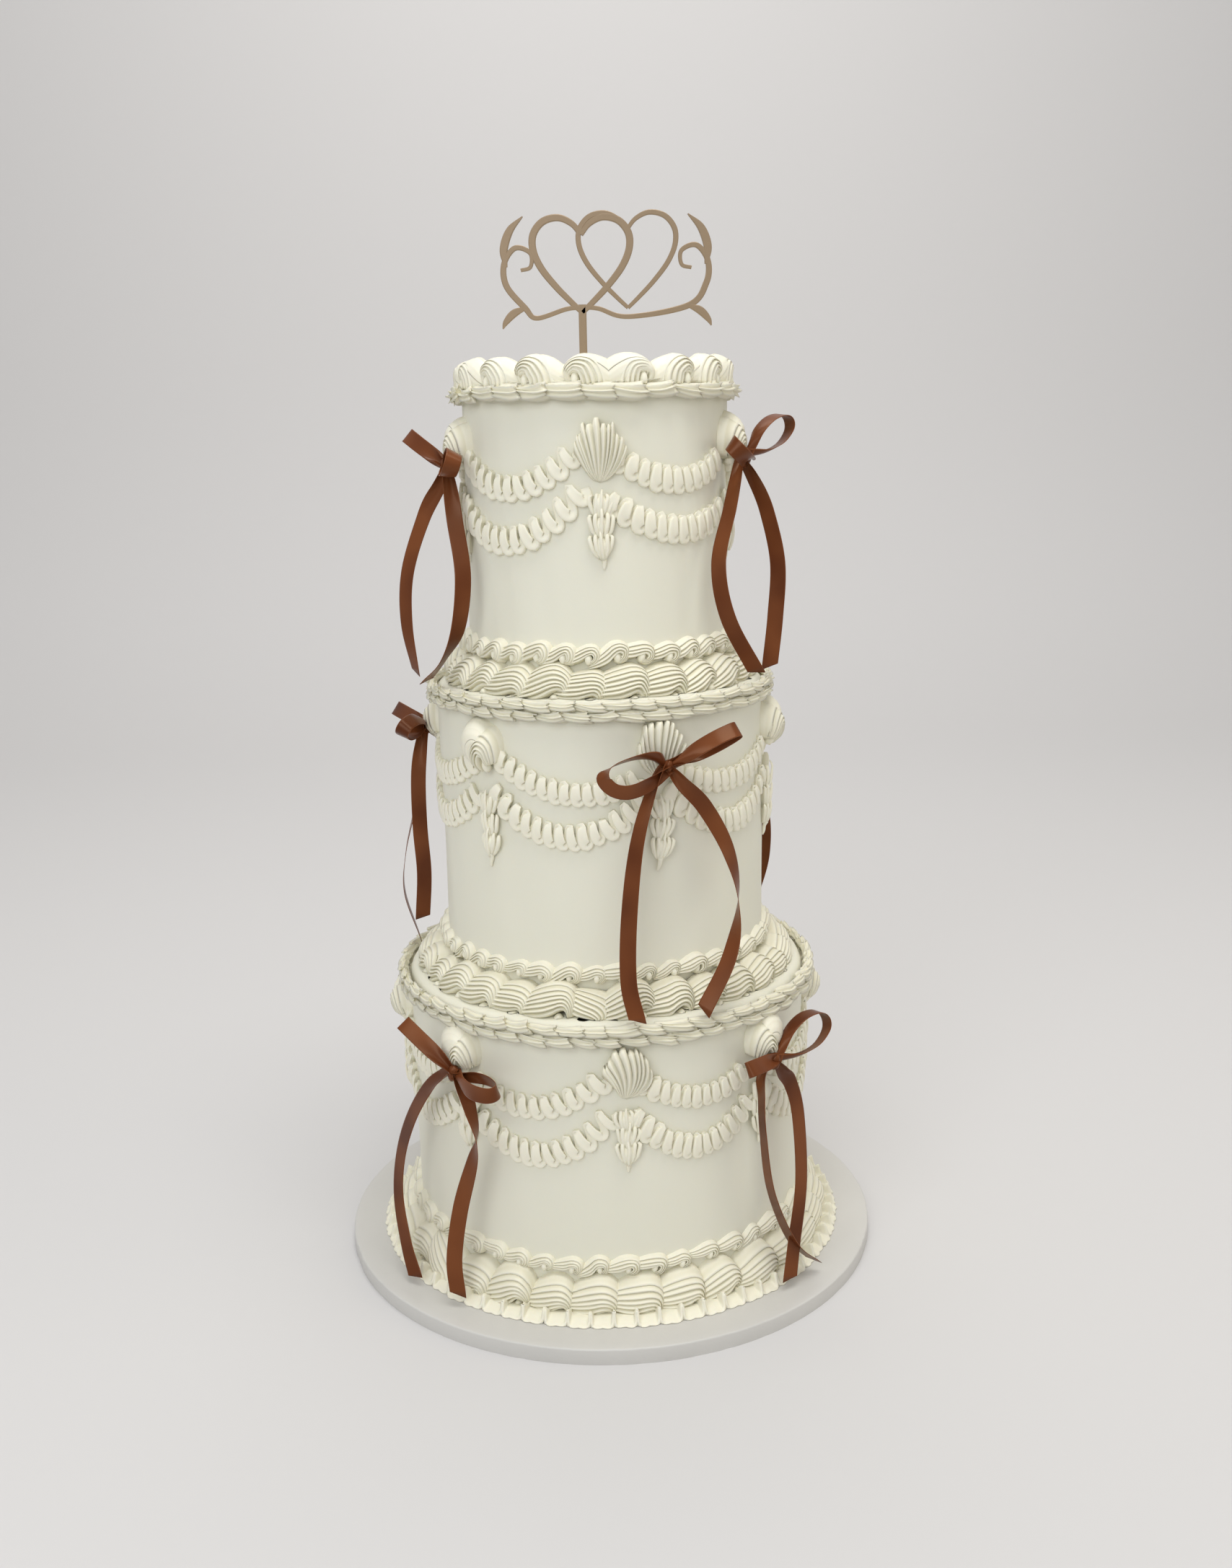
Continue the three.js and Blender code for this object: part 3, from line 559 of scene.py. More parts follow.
# Each row: how far up and out it lies from the edge, how far it leans back, and its thickness.
rim_rows = {
    "bottom": {"count": 54, "rows": ((-9.2, 1.4, -2, 0.86), (-3.2, 2.2, 14, 0.80))},
    "middle": {"count": 44, "rows": ((-8.2, 1.4, -2, 0.80), (-2.8, 1.8, 14, 0.74))},
    "top": {"count": 29, "rows": ((-2.6, 1.0, 4, 1.06), (-0.4, -4.5, 60, 1.06))},
}
rim_shell = [
    (-0.72, 1.2, 0.8, 2.6), (-0.55, 0.7, 1.6, 3.3), (-0.25, -0.2, 2.4, 4.1),
    (0.10, -0.6, 3.0, 4.7), (0.38, -0.2, 3.3, 4.9), (0.56, 0.6, 3.2, 4.7),
]
rim_steps = 10
rim_ridges = 8
rim_groove = 0.5


def star_tip(ridges, front):
    """Angles round the section of a star tip, how deep in a hollow each lies, and its reach. The
    ridges are thin with wide hollows between, and the side towards the cake is plain."""
    tooth = 360 / ridges
    count = round(2 * front / tooth)
    valleys = (np.arange(count + 1) - count / 2) * tooth
    fine, groove = [valleys[0]], [1.0]
    for valley in valleys[:-1]:
        fine += [valley + tooth * 0.24, valley + tooth * 0.5, valley + tooth * 0.76, valley + tooth]
        groove += [0.8, 0.0, 0.8, 1.0]
    back = np.linspace(fine[-1], 360 + fine[0], 4)[1:-1]
    groove = np.array(groove + [0.3, 0.3])
    return np.radians(np.concatenate([fine, back])), groove, np.ones_like(groove)


rim_tip = star_tip(rim_ridges, 120)
for name, plan, tier, draw in each_tier(rim_rows, 60):
    pitch = 2 * math.pi * (tier["radius"] + 4) / plan["count"]
    strokes = []
    for k in range(plan["count"]):
        for phase, (row_up, row_out, row_lean, row_thick) in zip((0.0, 0.5), plan["rows"]):
            thick = row_thick * (1 + draw.uniform(-0.1, 0.1))
            stations = np.array(rim_shell) * (pitch * (1 + draw.uniform(-0.05, 0.09)), thick, thick, thick)
            stations[:, 1:3] += draw.uniform(-0.3, 0.3, (len(stations), 2))
            rings, groove = piped(stations, rim_steps, rim_tip, rim_groove, twist=draw.uniform(8, 34))
            ends = np.repeat(draw.uniform(-1.5, 1.9, len(groove[0]) // 4 + 1), 4)[: len(groove[0])]
            rings[..., 1] += 0.4 * ends * np.sin(np.linspace(0, 5, rim_steps))[:, None]
            rings[-4:, :, 0] += (ends - 1.6 * groove[0])[None] * np.array((0, 0.2, 0.6, 1.0))[:, None]
            inside = rings[-1:] * 0.55 + rings[-1:].mean(1, keepdims=True) * 0.45 - (0.9, 0, 0)
            rings = np.concatenate([rings, inside])
            groove = np.concatenate([groove, np.full_like(groove[-1:], 0.8)])
            rings = lean(swing(rings, draw.uniform(-6, 6)), row_lean)
            azimuth = (k + phase) * 360 / plan["count"] + draw.uniform(-0.4, 0.4)
            height = tier["top"] + row_up + draw.uniform(-0.4, 0.4)
            strokes.append((on_side(rings, azimuth, tier["radius"] + row_out, height), groove))
    rim = piping("piped_rim_border_" + name, strokes)
    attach(rim, "root")
    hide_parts("rim_border_" + name)


# ---- Garlands --------------------------------------------
# Two draped rows on each tier, each piped without a break: a smooth oval tip goes down, turns back up
# behind and folds over, which leaves a row of tongues. Their ends meet under junction shells: ridged
# fans at the front, and a big dome with a curl of arches at its side where the bows are pinned.

# A fan: the place of its middle, its height, its sway and its blades. A row: the tongues of one
# drape, their length, the gap at its ends, and two drapes with their left end, right end and sag.
garlands = {
    "bottom": {
        "junctions": (4.5, 45, 92, 139, 184, 229, 274, 319),
        "fan": (154, 34, 3.0, 10),
        "shell": 160,
        "upper": (11, 18, 10, ((157, 152, 21), (147, 165, 25))),
        "lower": (13, 20, 5.5, ((132, 133, 31), (128, 140, 34))),
    },
    "middle": {
        "junctions": (19, 80, 140, 200, 260, 320),
        "fan": (159, 35, -1.5, 10),
        "shell": 160,
        "upper": (13, 17, 10, ((151, 158, 20), (160, 150, 21))),
        "lower": (14, 19, 5.5, ((138, 140, 31), (137, 140, 31))),
    },
    "top": {
        "junctions": (1.5, 72, 144, 216, 288),
        "fan": (140.5, 34.5, 0.6, 12),
        "shell": 147,
        "upper": (11, 18, 11, ((146, 148, 23), (147, 157, 31))),
        "lower": (12, 19, 6.5, ((117, 114, 20), (114, 134, 33))),
    },
}
# One tongue: across in pitches, up in lengths, out in millimetres, and its radius in pitches.
petal_fold = [
    (0.00, 0.33, 2.4, 0.26), (-0.02, 0.20, 3.0, 0.34), (0.00, 0.00, 3.2, 0.40), (0.08, -0.18, 2.8, 0.44),
    (0.20, -0.29, 2.3, 0.46), (0.36, -0.32, 1.7, 0.45), (0.52, -0.25, 1.2, 0.38), (0.64, -0.08, 0.9, 0.30),
    (0.72, 0.14, 0.9, 0.26), (0.84, 0.31, 1.4, 0.24),
]
petal_steps = 16
petal_foot = -0.8
flat_angles = np.radians([-90, -76, -64, -54, -44, -28, 0, 28, 44, 54, 64, 76, 90, 125, 235])
flat_reach = (np.abs(np.sin(flat_angles)) ** 5 + np.abs(np.cos(flat_angles)) ** 5) ** (-1 / 5)
flat_reach *= 1 - 0.35 * np.clip(np.cos(flat_angles), 0, 1) ** 8
flat_tip = (flat_angles - math.radians(10), np.zeros(15), flat_reach)


def drape(row, number, span, draw):
    """Stations of one drape of a row over a span: its tongues, which hang square to the sag. The
    first ones are fuller."""
    petals, petal, margin, drapes = row
    left, right, sag = drapes[number]
    pitch = (span - 2 * margin) / petals
    stations = []
    for k in range(petals):
        length = petal * (1 + draw.uniform(-0.08, 0.08))
        wide = 1 + draw.uniform(-0.1, 0.1)
        lean_aside = math.radians(draw.uniform(-7, 7))
        for across, up, out, radius in petal_fold:
            reach = margin + pitch * (k + across)
            share = reach / span
            middle = left + (right - left) * share - sag * 4 * share * (1 - share)
            slope = math.atan((right - left - sag * 4 * (1 - 2 * share)) / span)
            turn = slope * 0.7 + lean_aside
            full = 1 + 0.24 * max(0, 1 - share * 3.2)
            place = (reach - up * length * math.sin(turn), middle + up * length * math.cos(turn) * (2 - full))
            stations.append((*place, out * full, radius * pitch * wide * full))
    return stations[:-2], petal_steps * petals


for name, plan, tier, draw in each_tier(garlands, 70):
    starts = sorted(plan["junctions"])
    for level_name in ("upper", "lower"):
        strokes = []
        for number, (start, end) in enumerate(zip(starts, starts[1:] + [starts[0] + 360])):
            kind = 1 if number == len(starts) - 1 else number % 2
            span = (end - start) * math.pi * tier["radius"] / 180
            stations, steps = drape(plan[level_name], kind, span, draw)
            rings, groove = piped(stations, steps, flat_tip, 0, 0.3)
            rings[:, -2:, 2] = petal_foot
            strokes.append((on_side(rings, start, tier["radius"], tier["floor"]), groove))
        plan[level_name + "_strokes"] = strokes


def fan(width, height, out, blades, depth, sway, ragged, draw):
    """Rings of one fan shell. Its thin sharp blades rise from a narrow foot, bow aside by the sway,
    and end in separate uneven points."""
    count = 4 * blades + 1
    angles = np.radians(np.linspace(-80, 80, count))
    groove = np.tile([1.0, 0.05, 0.12, 0.42], blades + 1)[:count]
    ends = np.repeat(draw.uniform(-ragged, ragged, blades + 1), 4)[:count]
    tip_across = width / 2 * np.sin(angles) / math.sin(angles[-1])
    tip_up = height * (0.42 + 0.58 * np.cos(angles)) + ends - (groove > 0.9) * height * 0.09
    along = np.array([0.0, 0.08, 0.2, 0.34, 0.48, 0.62, 0.76, 0.88, 0.97, 1.0, 1.0, 0.96])
    rise = np.array([0.10, 0.30, 0.55, 0.74, 0.88, 0.97, 1.0, 0.99, 0.94, 0.84, 0.30, -0.12])
    across = tip_across[None] * along[:, None] ** 0.54 + sway * np.sin(math.pi * along)[:, None]
    across = across + 0.03 * width * along[:, None] * np.sin(5 * angles + 1)[None]
    up = tip_up[None] * along[:, None] - height / 2
    relief = 1 - depth * groove[None] * np.minimum(1, 0.25 + 1.1 * along[:, None])
    lift = out * rise[:, None] * (0.35 + 0.65 * np.cos(angles * 0.95)[None] ** 0.7) * relief
    front = np.stack([across, up, lift], -1)
    back = front[:, [-1, 0]] * (0.8, 1, 1) - (0, 0, back_sunk)
    shade = np.append(groove * 0.5, (0, 0))
    return np.concatenate([front, back], 1), np.broadcast_to(shade, (len(along), count + 2))


def mirrored(rings, groove):
    """The left-handed copy of a stroke, still facing out."""
    return (rings * (-1, 1, 1))[..., ::-1, :], groove[:, ::-1]


junction_dome = [
    (-11.0, -9.0, -7.6, -10.4, 4.6), (-11.8, -1.0, -7.4, -7.0, 8.4), (-8.8, 8.6, -6.8, -5.0, 11.0),
    (-0.6, 15.4, -5.6, -4.0, 12.4), (9.2, 14.8, -4.4, -4.4, 12.8), (16.0, 7.6, -3.4, -6.0, 12.4),
    (17.6, -2.0, -2.6, -8.6, 11.0), (12.6, -10.0, -1.8, -11.6, 8.4), (4.4, -14.8, -0.6, -15.4, 4.6),
]
junction_arches = [
    (-13.6, -9.6, -6.4, -12.6, 9.0), (-15.4, -2.6, -6.2, -9.6, 12.0), (-13.4, 6.6, -6.0, -7.4, 13.8),
    (-7.2, 12.4, -5.4, -6.4, 15.0), (-0.6, 7.6, -4.8, -7.4, 15.2), (3.2, -0.6, -4.4, -9.8, 14.6),
    (3.4, -8.6, -4.0, -12.8, 12.6), (1.0, -15.0, -3.4, -15.6, 8.0),
]
junction_nub = [
    (-5.2, -15.4, 3.0, 1.8), (-5.2, -12.0, 4.6, 2.4), (-5.3, -8.8, 4.8, 2.0), (-5.3, -6.8, 4.0, 0.8),
]
junction_steps = 24
junction_bands = 6
dome_groove = 0.9
dome_plain = 1.2
arches_groove = 3.0
arches_plain = 0.14
junction_aside = 3.6
fan_width = 29
fan_out = 10.5
fan_groove = 0.5
fan_ragged = 2.4
fan_azimuth_limit = 30

for name, plan, tier, draw in each_tier(garlands, 80):
    fan_place, fan_height, fan_sway, fan_blades = plan["fan"]
    shells = []
    for azimuth in plan["junctions"]:
        away = (azimuth + 180) % 360 - 180
        if abs(away) < fan_azimuth_limit:
            strokes = [
                fan(fan_width, fan_height, fan_out, fan_blades, fan_groove, fan_sway, fan_ragged, draw)
            ]
            height = tier["floor"] + fan_place
        else:
            dome = by_hand(junction_dome, 1, 0.5, draw)
            arches = by_hand(junction_arches, 1, 0.4, draw)
            strokes = [
                curled(dome, junction_steps, junction_bands, dome_groove, dome_plain, draw),
                curled(arches, junction_steps, junction_bands, arches_groove, arches_plain, draw),
                piped(junction_nub, 8, round_tip, 0, flat=1.6),
            ]
            strokes = [(rings + (junction_aside, 0, 0), groove) for rings, groove in strokes]
            height = tier["floor"] + plan["shell"]
            if away < 0:
                strokes = [mirrored(rings, groove) for rings, groove in strokes]
        shells += [(on_side(rings, azimuth, tier["radius"], height), groove) for rings, groove in strokes]
    upper = piping("piped_garland_upper_" + name, plan["upper_strokes"] + shells)
    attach(upper, "root")
    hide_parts("garland_upper_" + name)
    lower = piping("piped_garland_lower_" + name, plan["lower_strokes"])
    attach(lower, "root")
    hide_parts("garland_lower_" + name)


# ---- Drops -----------------------------------------------
# Under each junction hang three small star-tip tufts, piped downwards one under the other. Each has
# four ribs that flare at the top round a thin raised spike, and the last is drawn out to a tail.

drops = {
    "bottom": {"below": 30, "pitch": 10.2},
    "middle": {"below": 36, "pitch": 11.8},
    "top": {"below": 30, "pitch": 11.4},
}
drop_sides = [
    ((5, 5.4, 1.8, 0.7), (6.4, 4.4, 2.8, 1.2), (6.2, 1.2, 3, 1.35), (4.6, -3.2, 2.6, 1.3),
     (1.8, -7.4, 1.6, 0.9)),
    ((2.6, 6.4, 2.8, 0.8), (3.3, 5.4, 4, 1.2), (3.2, 1.6, 4.3, 1.3), (2.4, -3, 4, 1.3),
     (0.9, -7.8, 2.4, 0.9)),
]
drop_spike = [(0, 9.8, 5.2, 0.4), (0, 6.4, 6.2, 0.8), (0, 1.4, 6, 1), (0, -4, 5, 1.1), (0, -8.4, 3, 0.8)]
drop_body = [(0, 5.4, 0.8, 2.2), (0, 2.0, 1.2, 4.4), (0, -3.0, 1.4, 4.0), (0, -7.6, 0.8, 1.6)]
drop_tail = [(0, -6.0, 2.8, 1.6), (0.2, -9.0, 1.8, 1.3), (0, -12.0, 1.2, 1.1), (-0.2, -14.6, 1.0, 0.5)]
drop_ribs = [np.array(rib) * (side, 1, 1, 1) for rib in drop_sides for side in (-1, 1)]
drop_ribs += [drop_spike, drop_body]
drop_steps = 8

for name, plan, tier, draw in each_tier(garlands, 90):
    chain = drops[name]
    for number, azimuth in enumerate(plan["junctions"], start=1):
        strokes = []
        for k in range(3):
            aside = draw.uniform(-0.7, 0.7)
            turn = draw.uniform(-9, 9)
            height = tier["floor"] + (plan["fan"][0] - chain["below"] - k * chain["pitch"])
            for rib in drop_ribs + ([drop_tail] if k == 2 else []):
                stations = np.array(rib) * (1 + draw.uniform(-0.07, 0.07))
                stations[:, :3] += draw.uniform(-0.35, 0.35, (len(stations), 3))
                rings, groove = piped(stations, drop_steps, round_tip, 0)
                rings = swing(rings, turn) + (aside, 0, 0)
                strokes.append((on_side(rings, azimuth, tier["radius"], height), groove))
        drop = piping(f"piped_drop_{name}_{number}", strokes)
        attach(drop, "root")
        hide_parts(f"drop_{name}_{number}")


# ---- Board ruffle ----------------------------------------
# A flat frill on the board against the lowest shells, piped with a thin petal tip that was rocked
# in and out: sloping scoops with a lip on the board, and a narrow hooped pleat between each two.

ruffle_folds = 68
ruffle_shelf = 147
ruffle_inner = 139
ruffle_shelf_height = 3.0
ruffle_thickness = 2.0
ruffle_half_fold = [
    (0.000, 152.4, 9.4), (0.045, 152.5, 9.0), (0.082, 152.9, 7.6), (0.098, 153.5, 5.0), (0.104, 154.2, 2.8),
    (0.122, 155.3, 1.1), (0.170, 156.2, 0.4), (0.270, 156.5, 0.3), (0.390, 156.3, 0.5), (0.500, 155.9, 0.8),
]
ruffle_fold = ruffle_half_fold + [(1 - share, *place) for share, *place in ruffle_half_fold[-2:0:-1]]
ruffle_slope = ((0.0, 0.0, 0.0), (0.2, 0.15, 0.03), (0.45, 0.45, 0.12), (0.7, 0.85, 0.3), (1.0, 1.0, 0.6))

draw = np.random.default_rng(100)
lip = []
for k in range(ruffle_folds):
    tall = 1 + draw.uniform(-0.14, 0.1)
    slip = draw.uniform(-0.08, 0.08)
    deep = draw.uniform(-0.9, 0.5)
    cusp = draw.uniform(-0.6, 0.6)
    for share, radius, height in ruffle_fold:
        belly = math.sin(math.pi * share)
        out = radius + deep * belly + cusp * math.sin(2 * math.pi * share) * belly
        lip.append(((k + share + slip * belly) * 2 * math.pi / ruffle_folds, out, height * tall))
lip = np.array(lip)
ruffle_rings = []
for inwards, scoop_rise, pleat_fall in ruffle_slope:
    radius = lip[:, 1] + (ruffle_shelf - lip[:, 1]) * inwards
    rise = scoop_rise + (pleat_fall - scoop_rise) * np.clip((lip[:, 2] - 1) / 5, 0, 1)
    z = board_top + 0.3 + lip[:, 2] + (ruffle_shelf_height - lip[:, 2]) * rise
    ruffle_rings.append(np.stack([radius * np.sin(lip[:, 0]), -radius * np.cos(lip[:, 0]), z], -1))
ruffle_back = ruffle_rings[-1] * (ruffle_inner / ruffle_shelf, ruffle_inner / ruffle_shelf, 1)
ruffle_top = np.array([ruffle_back, *ruffle_rings[::-1]])
across_lip = np.roll(ruffle_top, -1, axis=1) - np.roll(ruffle_top, 1, axis=1)
facing = unit(np.cross(across_lip, np.gradient(ruffle_top, axis=0)))
facing *= np.sign(facing[..., 2].mean())
ruffle_under = ruffle_top - facing * ruffle_thickness
ruffle_under[..., 2] = np.maximum(ruffle_under[..., 2], board_top + 0.05)
ruffle_lip = (ruffle_top[-1:] + ruffle_under[-1:]) * 0.5
ruffle_lip[..., :2] *= 1 + 0.4 / ruffle_shelf
ruffle_rows = np.concatenate([ruffle_top, ruffle_lip, ruffle_under[::-1]])
ruffle_index = np.arange(ruffle_rows[..., 0].size).reshape(ruffle_rows.shape[:2])
ruffle_pairs = np.stack([ruffle_index, np.roll(ruffle_index, -1, axis=0)], 2)
ruffle_quads = np.concatenate([ruffle_pairs, np.roll(ruffle_pairs, -1, axis=1)[..., ::-1]], 2)
ruffle_faces = ruffle_quads.reshape(-1, 4).tolist()
ruffle = show("piped_board_ruffle", ruffle_rows.reshape(-1, 3), ruffle_faces, piping_icing)
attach(ruffle, "root")
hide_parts("board_ruffle")


# ---- Crown -----------------------------------------------
# Eighteen large curled shells stand on the edge of the top tier. Each starts in a small blob, goes
# over it in a wide band, and leans on the next. Those on the right run the other way.

crown_count = 18
crown_radius = 78
crown_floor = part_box("crown_shells")[0].z * 1000
crown_shell = [
    (-10.6, -3.0, -6.4, -3.0, 4.6), (-12.8, 3.0, -7.8, 1.0, 7.0), (-11.0, 9.4, -7.6, 2.4, 8.4),
    (-5.8, 13.8, -5.0, 3.0, 9.0), (1.8, 15.6, -2.4, 2.0, 9.0), (9.4, 14.0, -0.4, 0.2, 8.6),
    (15.8, 10.4, 2.4, -1.8, 7.6), (20.6, 5.6, 6.6, -3.0, 6.0), (23.6, 0.6, 11.6, -3.6, 4.4),
]
crown_curl = [
    (-9.8, 0.8, -7.4, 0.0, 3.4), (-12.0, 6.0, -7.2, 2.4, 8.2), (-9.6, 12.0, -6.4, 3.6, 9.6),
    (-2.6, 15.0, -5.2, 4.0, 10.2), (5.2, 14.0, -4.0, 3.2, 10.4), (11.2, 9.6, -3.2, 1.6, 10.0),
    (14.6, 3.2, -2.8, -0.6, 9.2), (15.4, -3.0, -2.6, -3.6, 8.2),
]
crown_blob = [
    (-4.8, -3.8, 2.2, 2.2), (-4.9, -1.4, 2.4, 2.7), (-5.0, 1.4, 2.4, 2.6), (-5.1, 3.4, 2.2, 1.8),
    (-5.1, 4.4, 2.0, 0.5),
]
crown_bands = 5
crown_shell_steps = 20
crown_shell_groove = 0.3
crown_shell_plain = 1.9
crown_curl_steps = 18
crown_curl_groove = 2.3
crown_curl_plain = 0.3
crown_turning_place = 5
crown_shade = 0.5
crown_lean = 8

draw = np.random.default_rng(110)
strokes = []
for k in range(crown_count):
    azimuth = (k + 0.775) * 360 / crown_count + draw.uniform(-0.8, 0.8)
    stations = by_hand(crown_shell, 1 + draw.uniform(-0.06, 0.06), 0.5, draw)
    shell = curled(stations, crown_shell_steps, crown_bands, crown_shell_groove, crown_shell_plain, draw)
    stations = by_hand(crown_curl, 1 + draw.uniform(-0.08, 0.08), 0.5, draw)
    curl = curled(stations, crown_curl_steps, crown_bands, crown_curl_groove, crown_curl_plain, draw)
    blob = piped(crown_blob, 8, round_tip, 0, flat=2.3)
    for rings, groove in (shell, curl, blob):
        if (azimuth + 180) % 360 - 180 > crown_turning_place:
            rings, groove = mirrored(rings, groove)
        behind = (rings * (1, 1, -1))[:, ::-1]
        for side, side_groove in ((rings, groove), (behind, groove[:, ::-1])):
            placed = on_side(lean(side, crown_lean), azimuth, crown_radius, crown_floor + 0.6)
            placed[..., 2] = np.maximum(placed[..., 2], crown_floor - 1.5)
            strokes.append((placed, side_groove * crown_shade))
crown = piping("piped_crown_shells", strokes)
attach(crown, "root")
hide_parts("crown_shells")


# ---- Bows ------------------------------------------------
# Nine bows of 10 mm brown satin ribbon, each tied from one length and pinned under a junction shell:
# two loops, a small wrapped knot, and two tails that are cut at a slant and hang to the tier below.

ribbon_width = 9.8
ribbon_thickness = 0.32
knot_out = 13
loop_steps = 52
knot_steps = 34
tail_steps = 64
tail_slants = (0.5, -0.5)
# The dark tone is the satin's own colour. The lighter tone stands for painted sheen on the satin, and also
# for the lighter woven edges.
ribbon_dark = (0.083, 0.0190, 0.0054)
ribbon_sheen_and_selvedge = (0.188, 0.057, 0.0178)

ribbon_satin, satin_shader = principled("ribbon_satin", ribbon_dark, 0.30)
fill(satin_shader, {"Specular IOR Level": 0.36, "Specular Tint": (1.0, 0.68, 0.46, 1), "Anisotropic": 0.5})
satin_tree = ribbon_satin.node_tree
satin_edge = satin_tree.nodes.new("ShaderNodeAttribute")
satin_edge.attribute_name = "selvedge"
# The colour goes from the dark tone to the lighter one by the larger of two masks: a soft noise cloud, which
# is painted sheen, and the selvedge mask of the lighter woven edges.
painted_sheen_spread = satin_tree.nodes.new("ShaderNodeMapRange")
fill(painted_sheen_spread, {"From Min": 0.32, "From Max": 0.68, "To Max": 0.85})
sheen_and_selvedge = satin_tree.nodes.new("ShaderNodeMath")
sheen_and_selvedge.operation = "MAXIMUM"
satin_tree.links.new(noise(satin_tree, 26, 1.5).outputs["Fac"], painted_sheen_spread.inputs["Value"])
satin_tree.links.new(painted_sheen_spread.outputs["Result"], sheen_and_selvedge.inputs[0])
satin_tree.links.new(satin_edge.outputs["Fac"], sheen_and_selvedge.inputs[1])
blend(satin_tree, sheen_and_selvedge.outputs["Value"], ribbon_dark, ribbon_sheen_and_selvedge, satin_shader)
relieve(satin_tree, noise(satin_tree, 1500, 1).outputs["Fac"], 0.0001, 0.25, satin_shader)

across_width = np.array([-1, -0.86, -0.5, 0, 0.5, 0.86, 1])
gather_angle = math.radians(64)


def ribbon(stations, steps, slant=0.0):
    """Rings of a flat strip. Each station is the middle (across, up, out), the way its width lies
    (across, up, out), and how far it is folded in on itself, from 0 to 1. slant cuts the end off askew."""
    rows = through(stations, steps)
    centre, wide, gather = rows[:, :3], rows[:, 3:6], np.clip(rows[:, 6], 0, 1)
    along = unit(np.gradient(centre, axis=0))
    wide = unit(wide - along * (wide * along).sum(1)[:, None])
    thick = np.cross(along, wide)
    w = across_width * ribbon_width / 2
    fold = gather_angle * gather[:, None]
    flat = centre[:, None] + (w * np.cos(fold))[..., None] * wide[:, None]
    flat = flat + (w**2 * 2 / ribbon_width * np.sin(fold))[..., None] * thick[:, None]
    flat[-1] += (w * slant)[:, None] * along[-1]
    half = thick[:, None] * ribbon_thickness / 2
    rings = np.concatenate([flat + half, (flat - half)[:, ::-1]], 1)[:, ::-1]
    edge = np.abs(np.concatenate([across_width, across_width[::-1]])) > 0.95
    length = np.linalg.norm(np.diff(centre, axis=0), axis=1).sum()
    return rings, np.broadcast_to(edge, rings.shape[:2]), length


loop_shape = [
    (0.00, 0.00, 1.0), (0.14, 0.22, 0.85), (0.40, 0.46, 0.25), (0.70, 0.50, 0.0), (0.93, 0.32, 0.0),
    (1.00, 0.00, 0.0), (0.93, -0.32, 0.0), (0.70, -0.50, 0.0), (0.40, -0.44, 0.25), (0.14, -0.20, 0.85),
    (0.00, 0.00, 1.0),
]


def loop(tip, opening, first_lie, last_lie):
    """Stations of a loop that reaches from the knot to its tip and back. Its strands lie at angles
    from 0, flat to the front, to 90, edge on, and part by the opening."""
    tip = np.array(tip, float)
    reach = np.linalg.norm(tip)
    onwards = tip / reach
    outwards = unit(np.array((0, 0, 1.0)) - onwards * onwards[2])
    upwards = np.cross(outwards, onwards)
    upwards *= math.copysign(1, upwards[1])
    middle_lie = math.radians((first_lie + last_lie) / 2)
    apart = math.sin(middle_lie) * upwards - math.cos(middle_lie) * outwards
    stations = []
    for share, side, gather in loop_shape:
        lie = math.radians(last_lie + (first_lie - last_lie) * (side + 0.5))
        wide = math.cos(lie) * upwards + math.sin(lie) * outwards
        stations.append((*(onwards * reach * share + apart * opening * side), *wide, gather))
    return stations


def tail(*places):
    """Stations of a tail through places (across, up, out, and how far its width is turned from the
    bow's face)."""
    stations = []
    for k, (across, up, out, turn) in enumerate([(0, 0, 0, places[0][3]), *places]):
        turn = math.radians(turn)
        stations.append((across, up, out, math.cos(turn), 0, math.sin(turn), max(0, 1 - k / 2)))
    return stations


knot_turns = 16
knot_across = 5.2
knot_through = 4.6
knot_gather = 0.66
knot = []
for k in range(knot_turns + 1):
    a = 2 * math.pi * k / knot_turns
    bulge = 1 + 0.08 * math.sin(3 * a)
    wrap = (0.5 * math.sin(a), knot_across * math.cos(a) * bulge, knot_through * math.sin(a) * bulge)
    knot.append((*wrap, -1, -0.25, 0, knot_gather))
pulled_tight = (1, 0.74, 0.74, 1, 1, 1, 1.2)

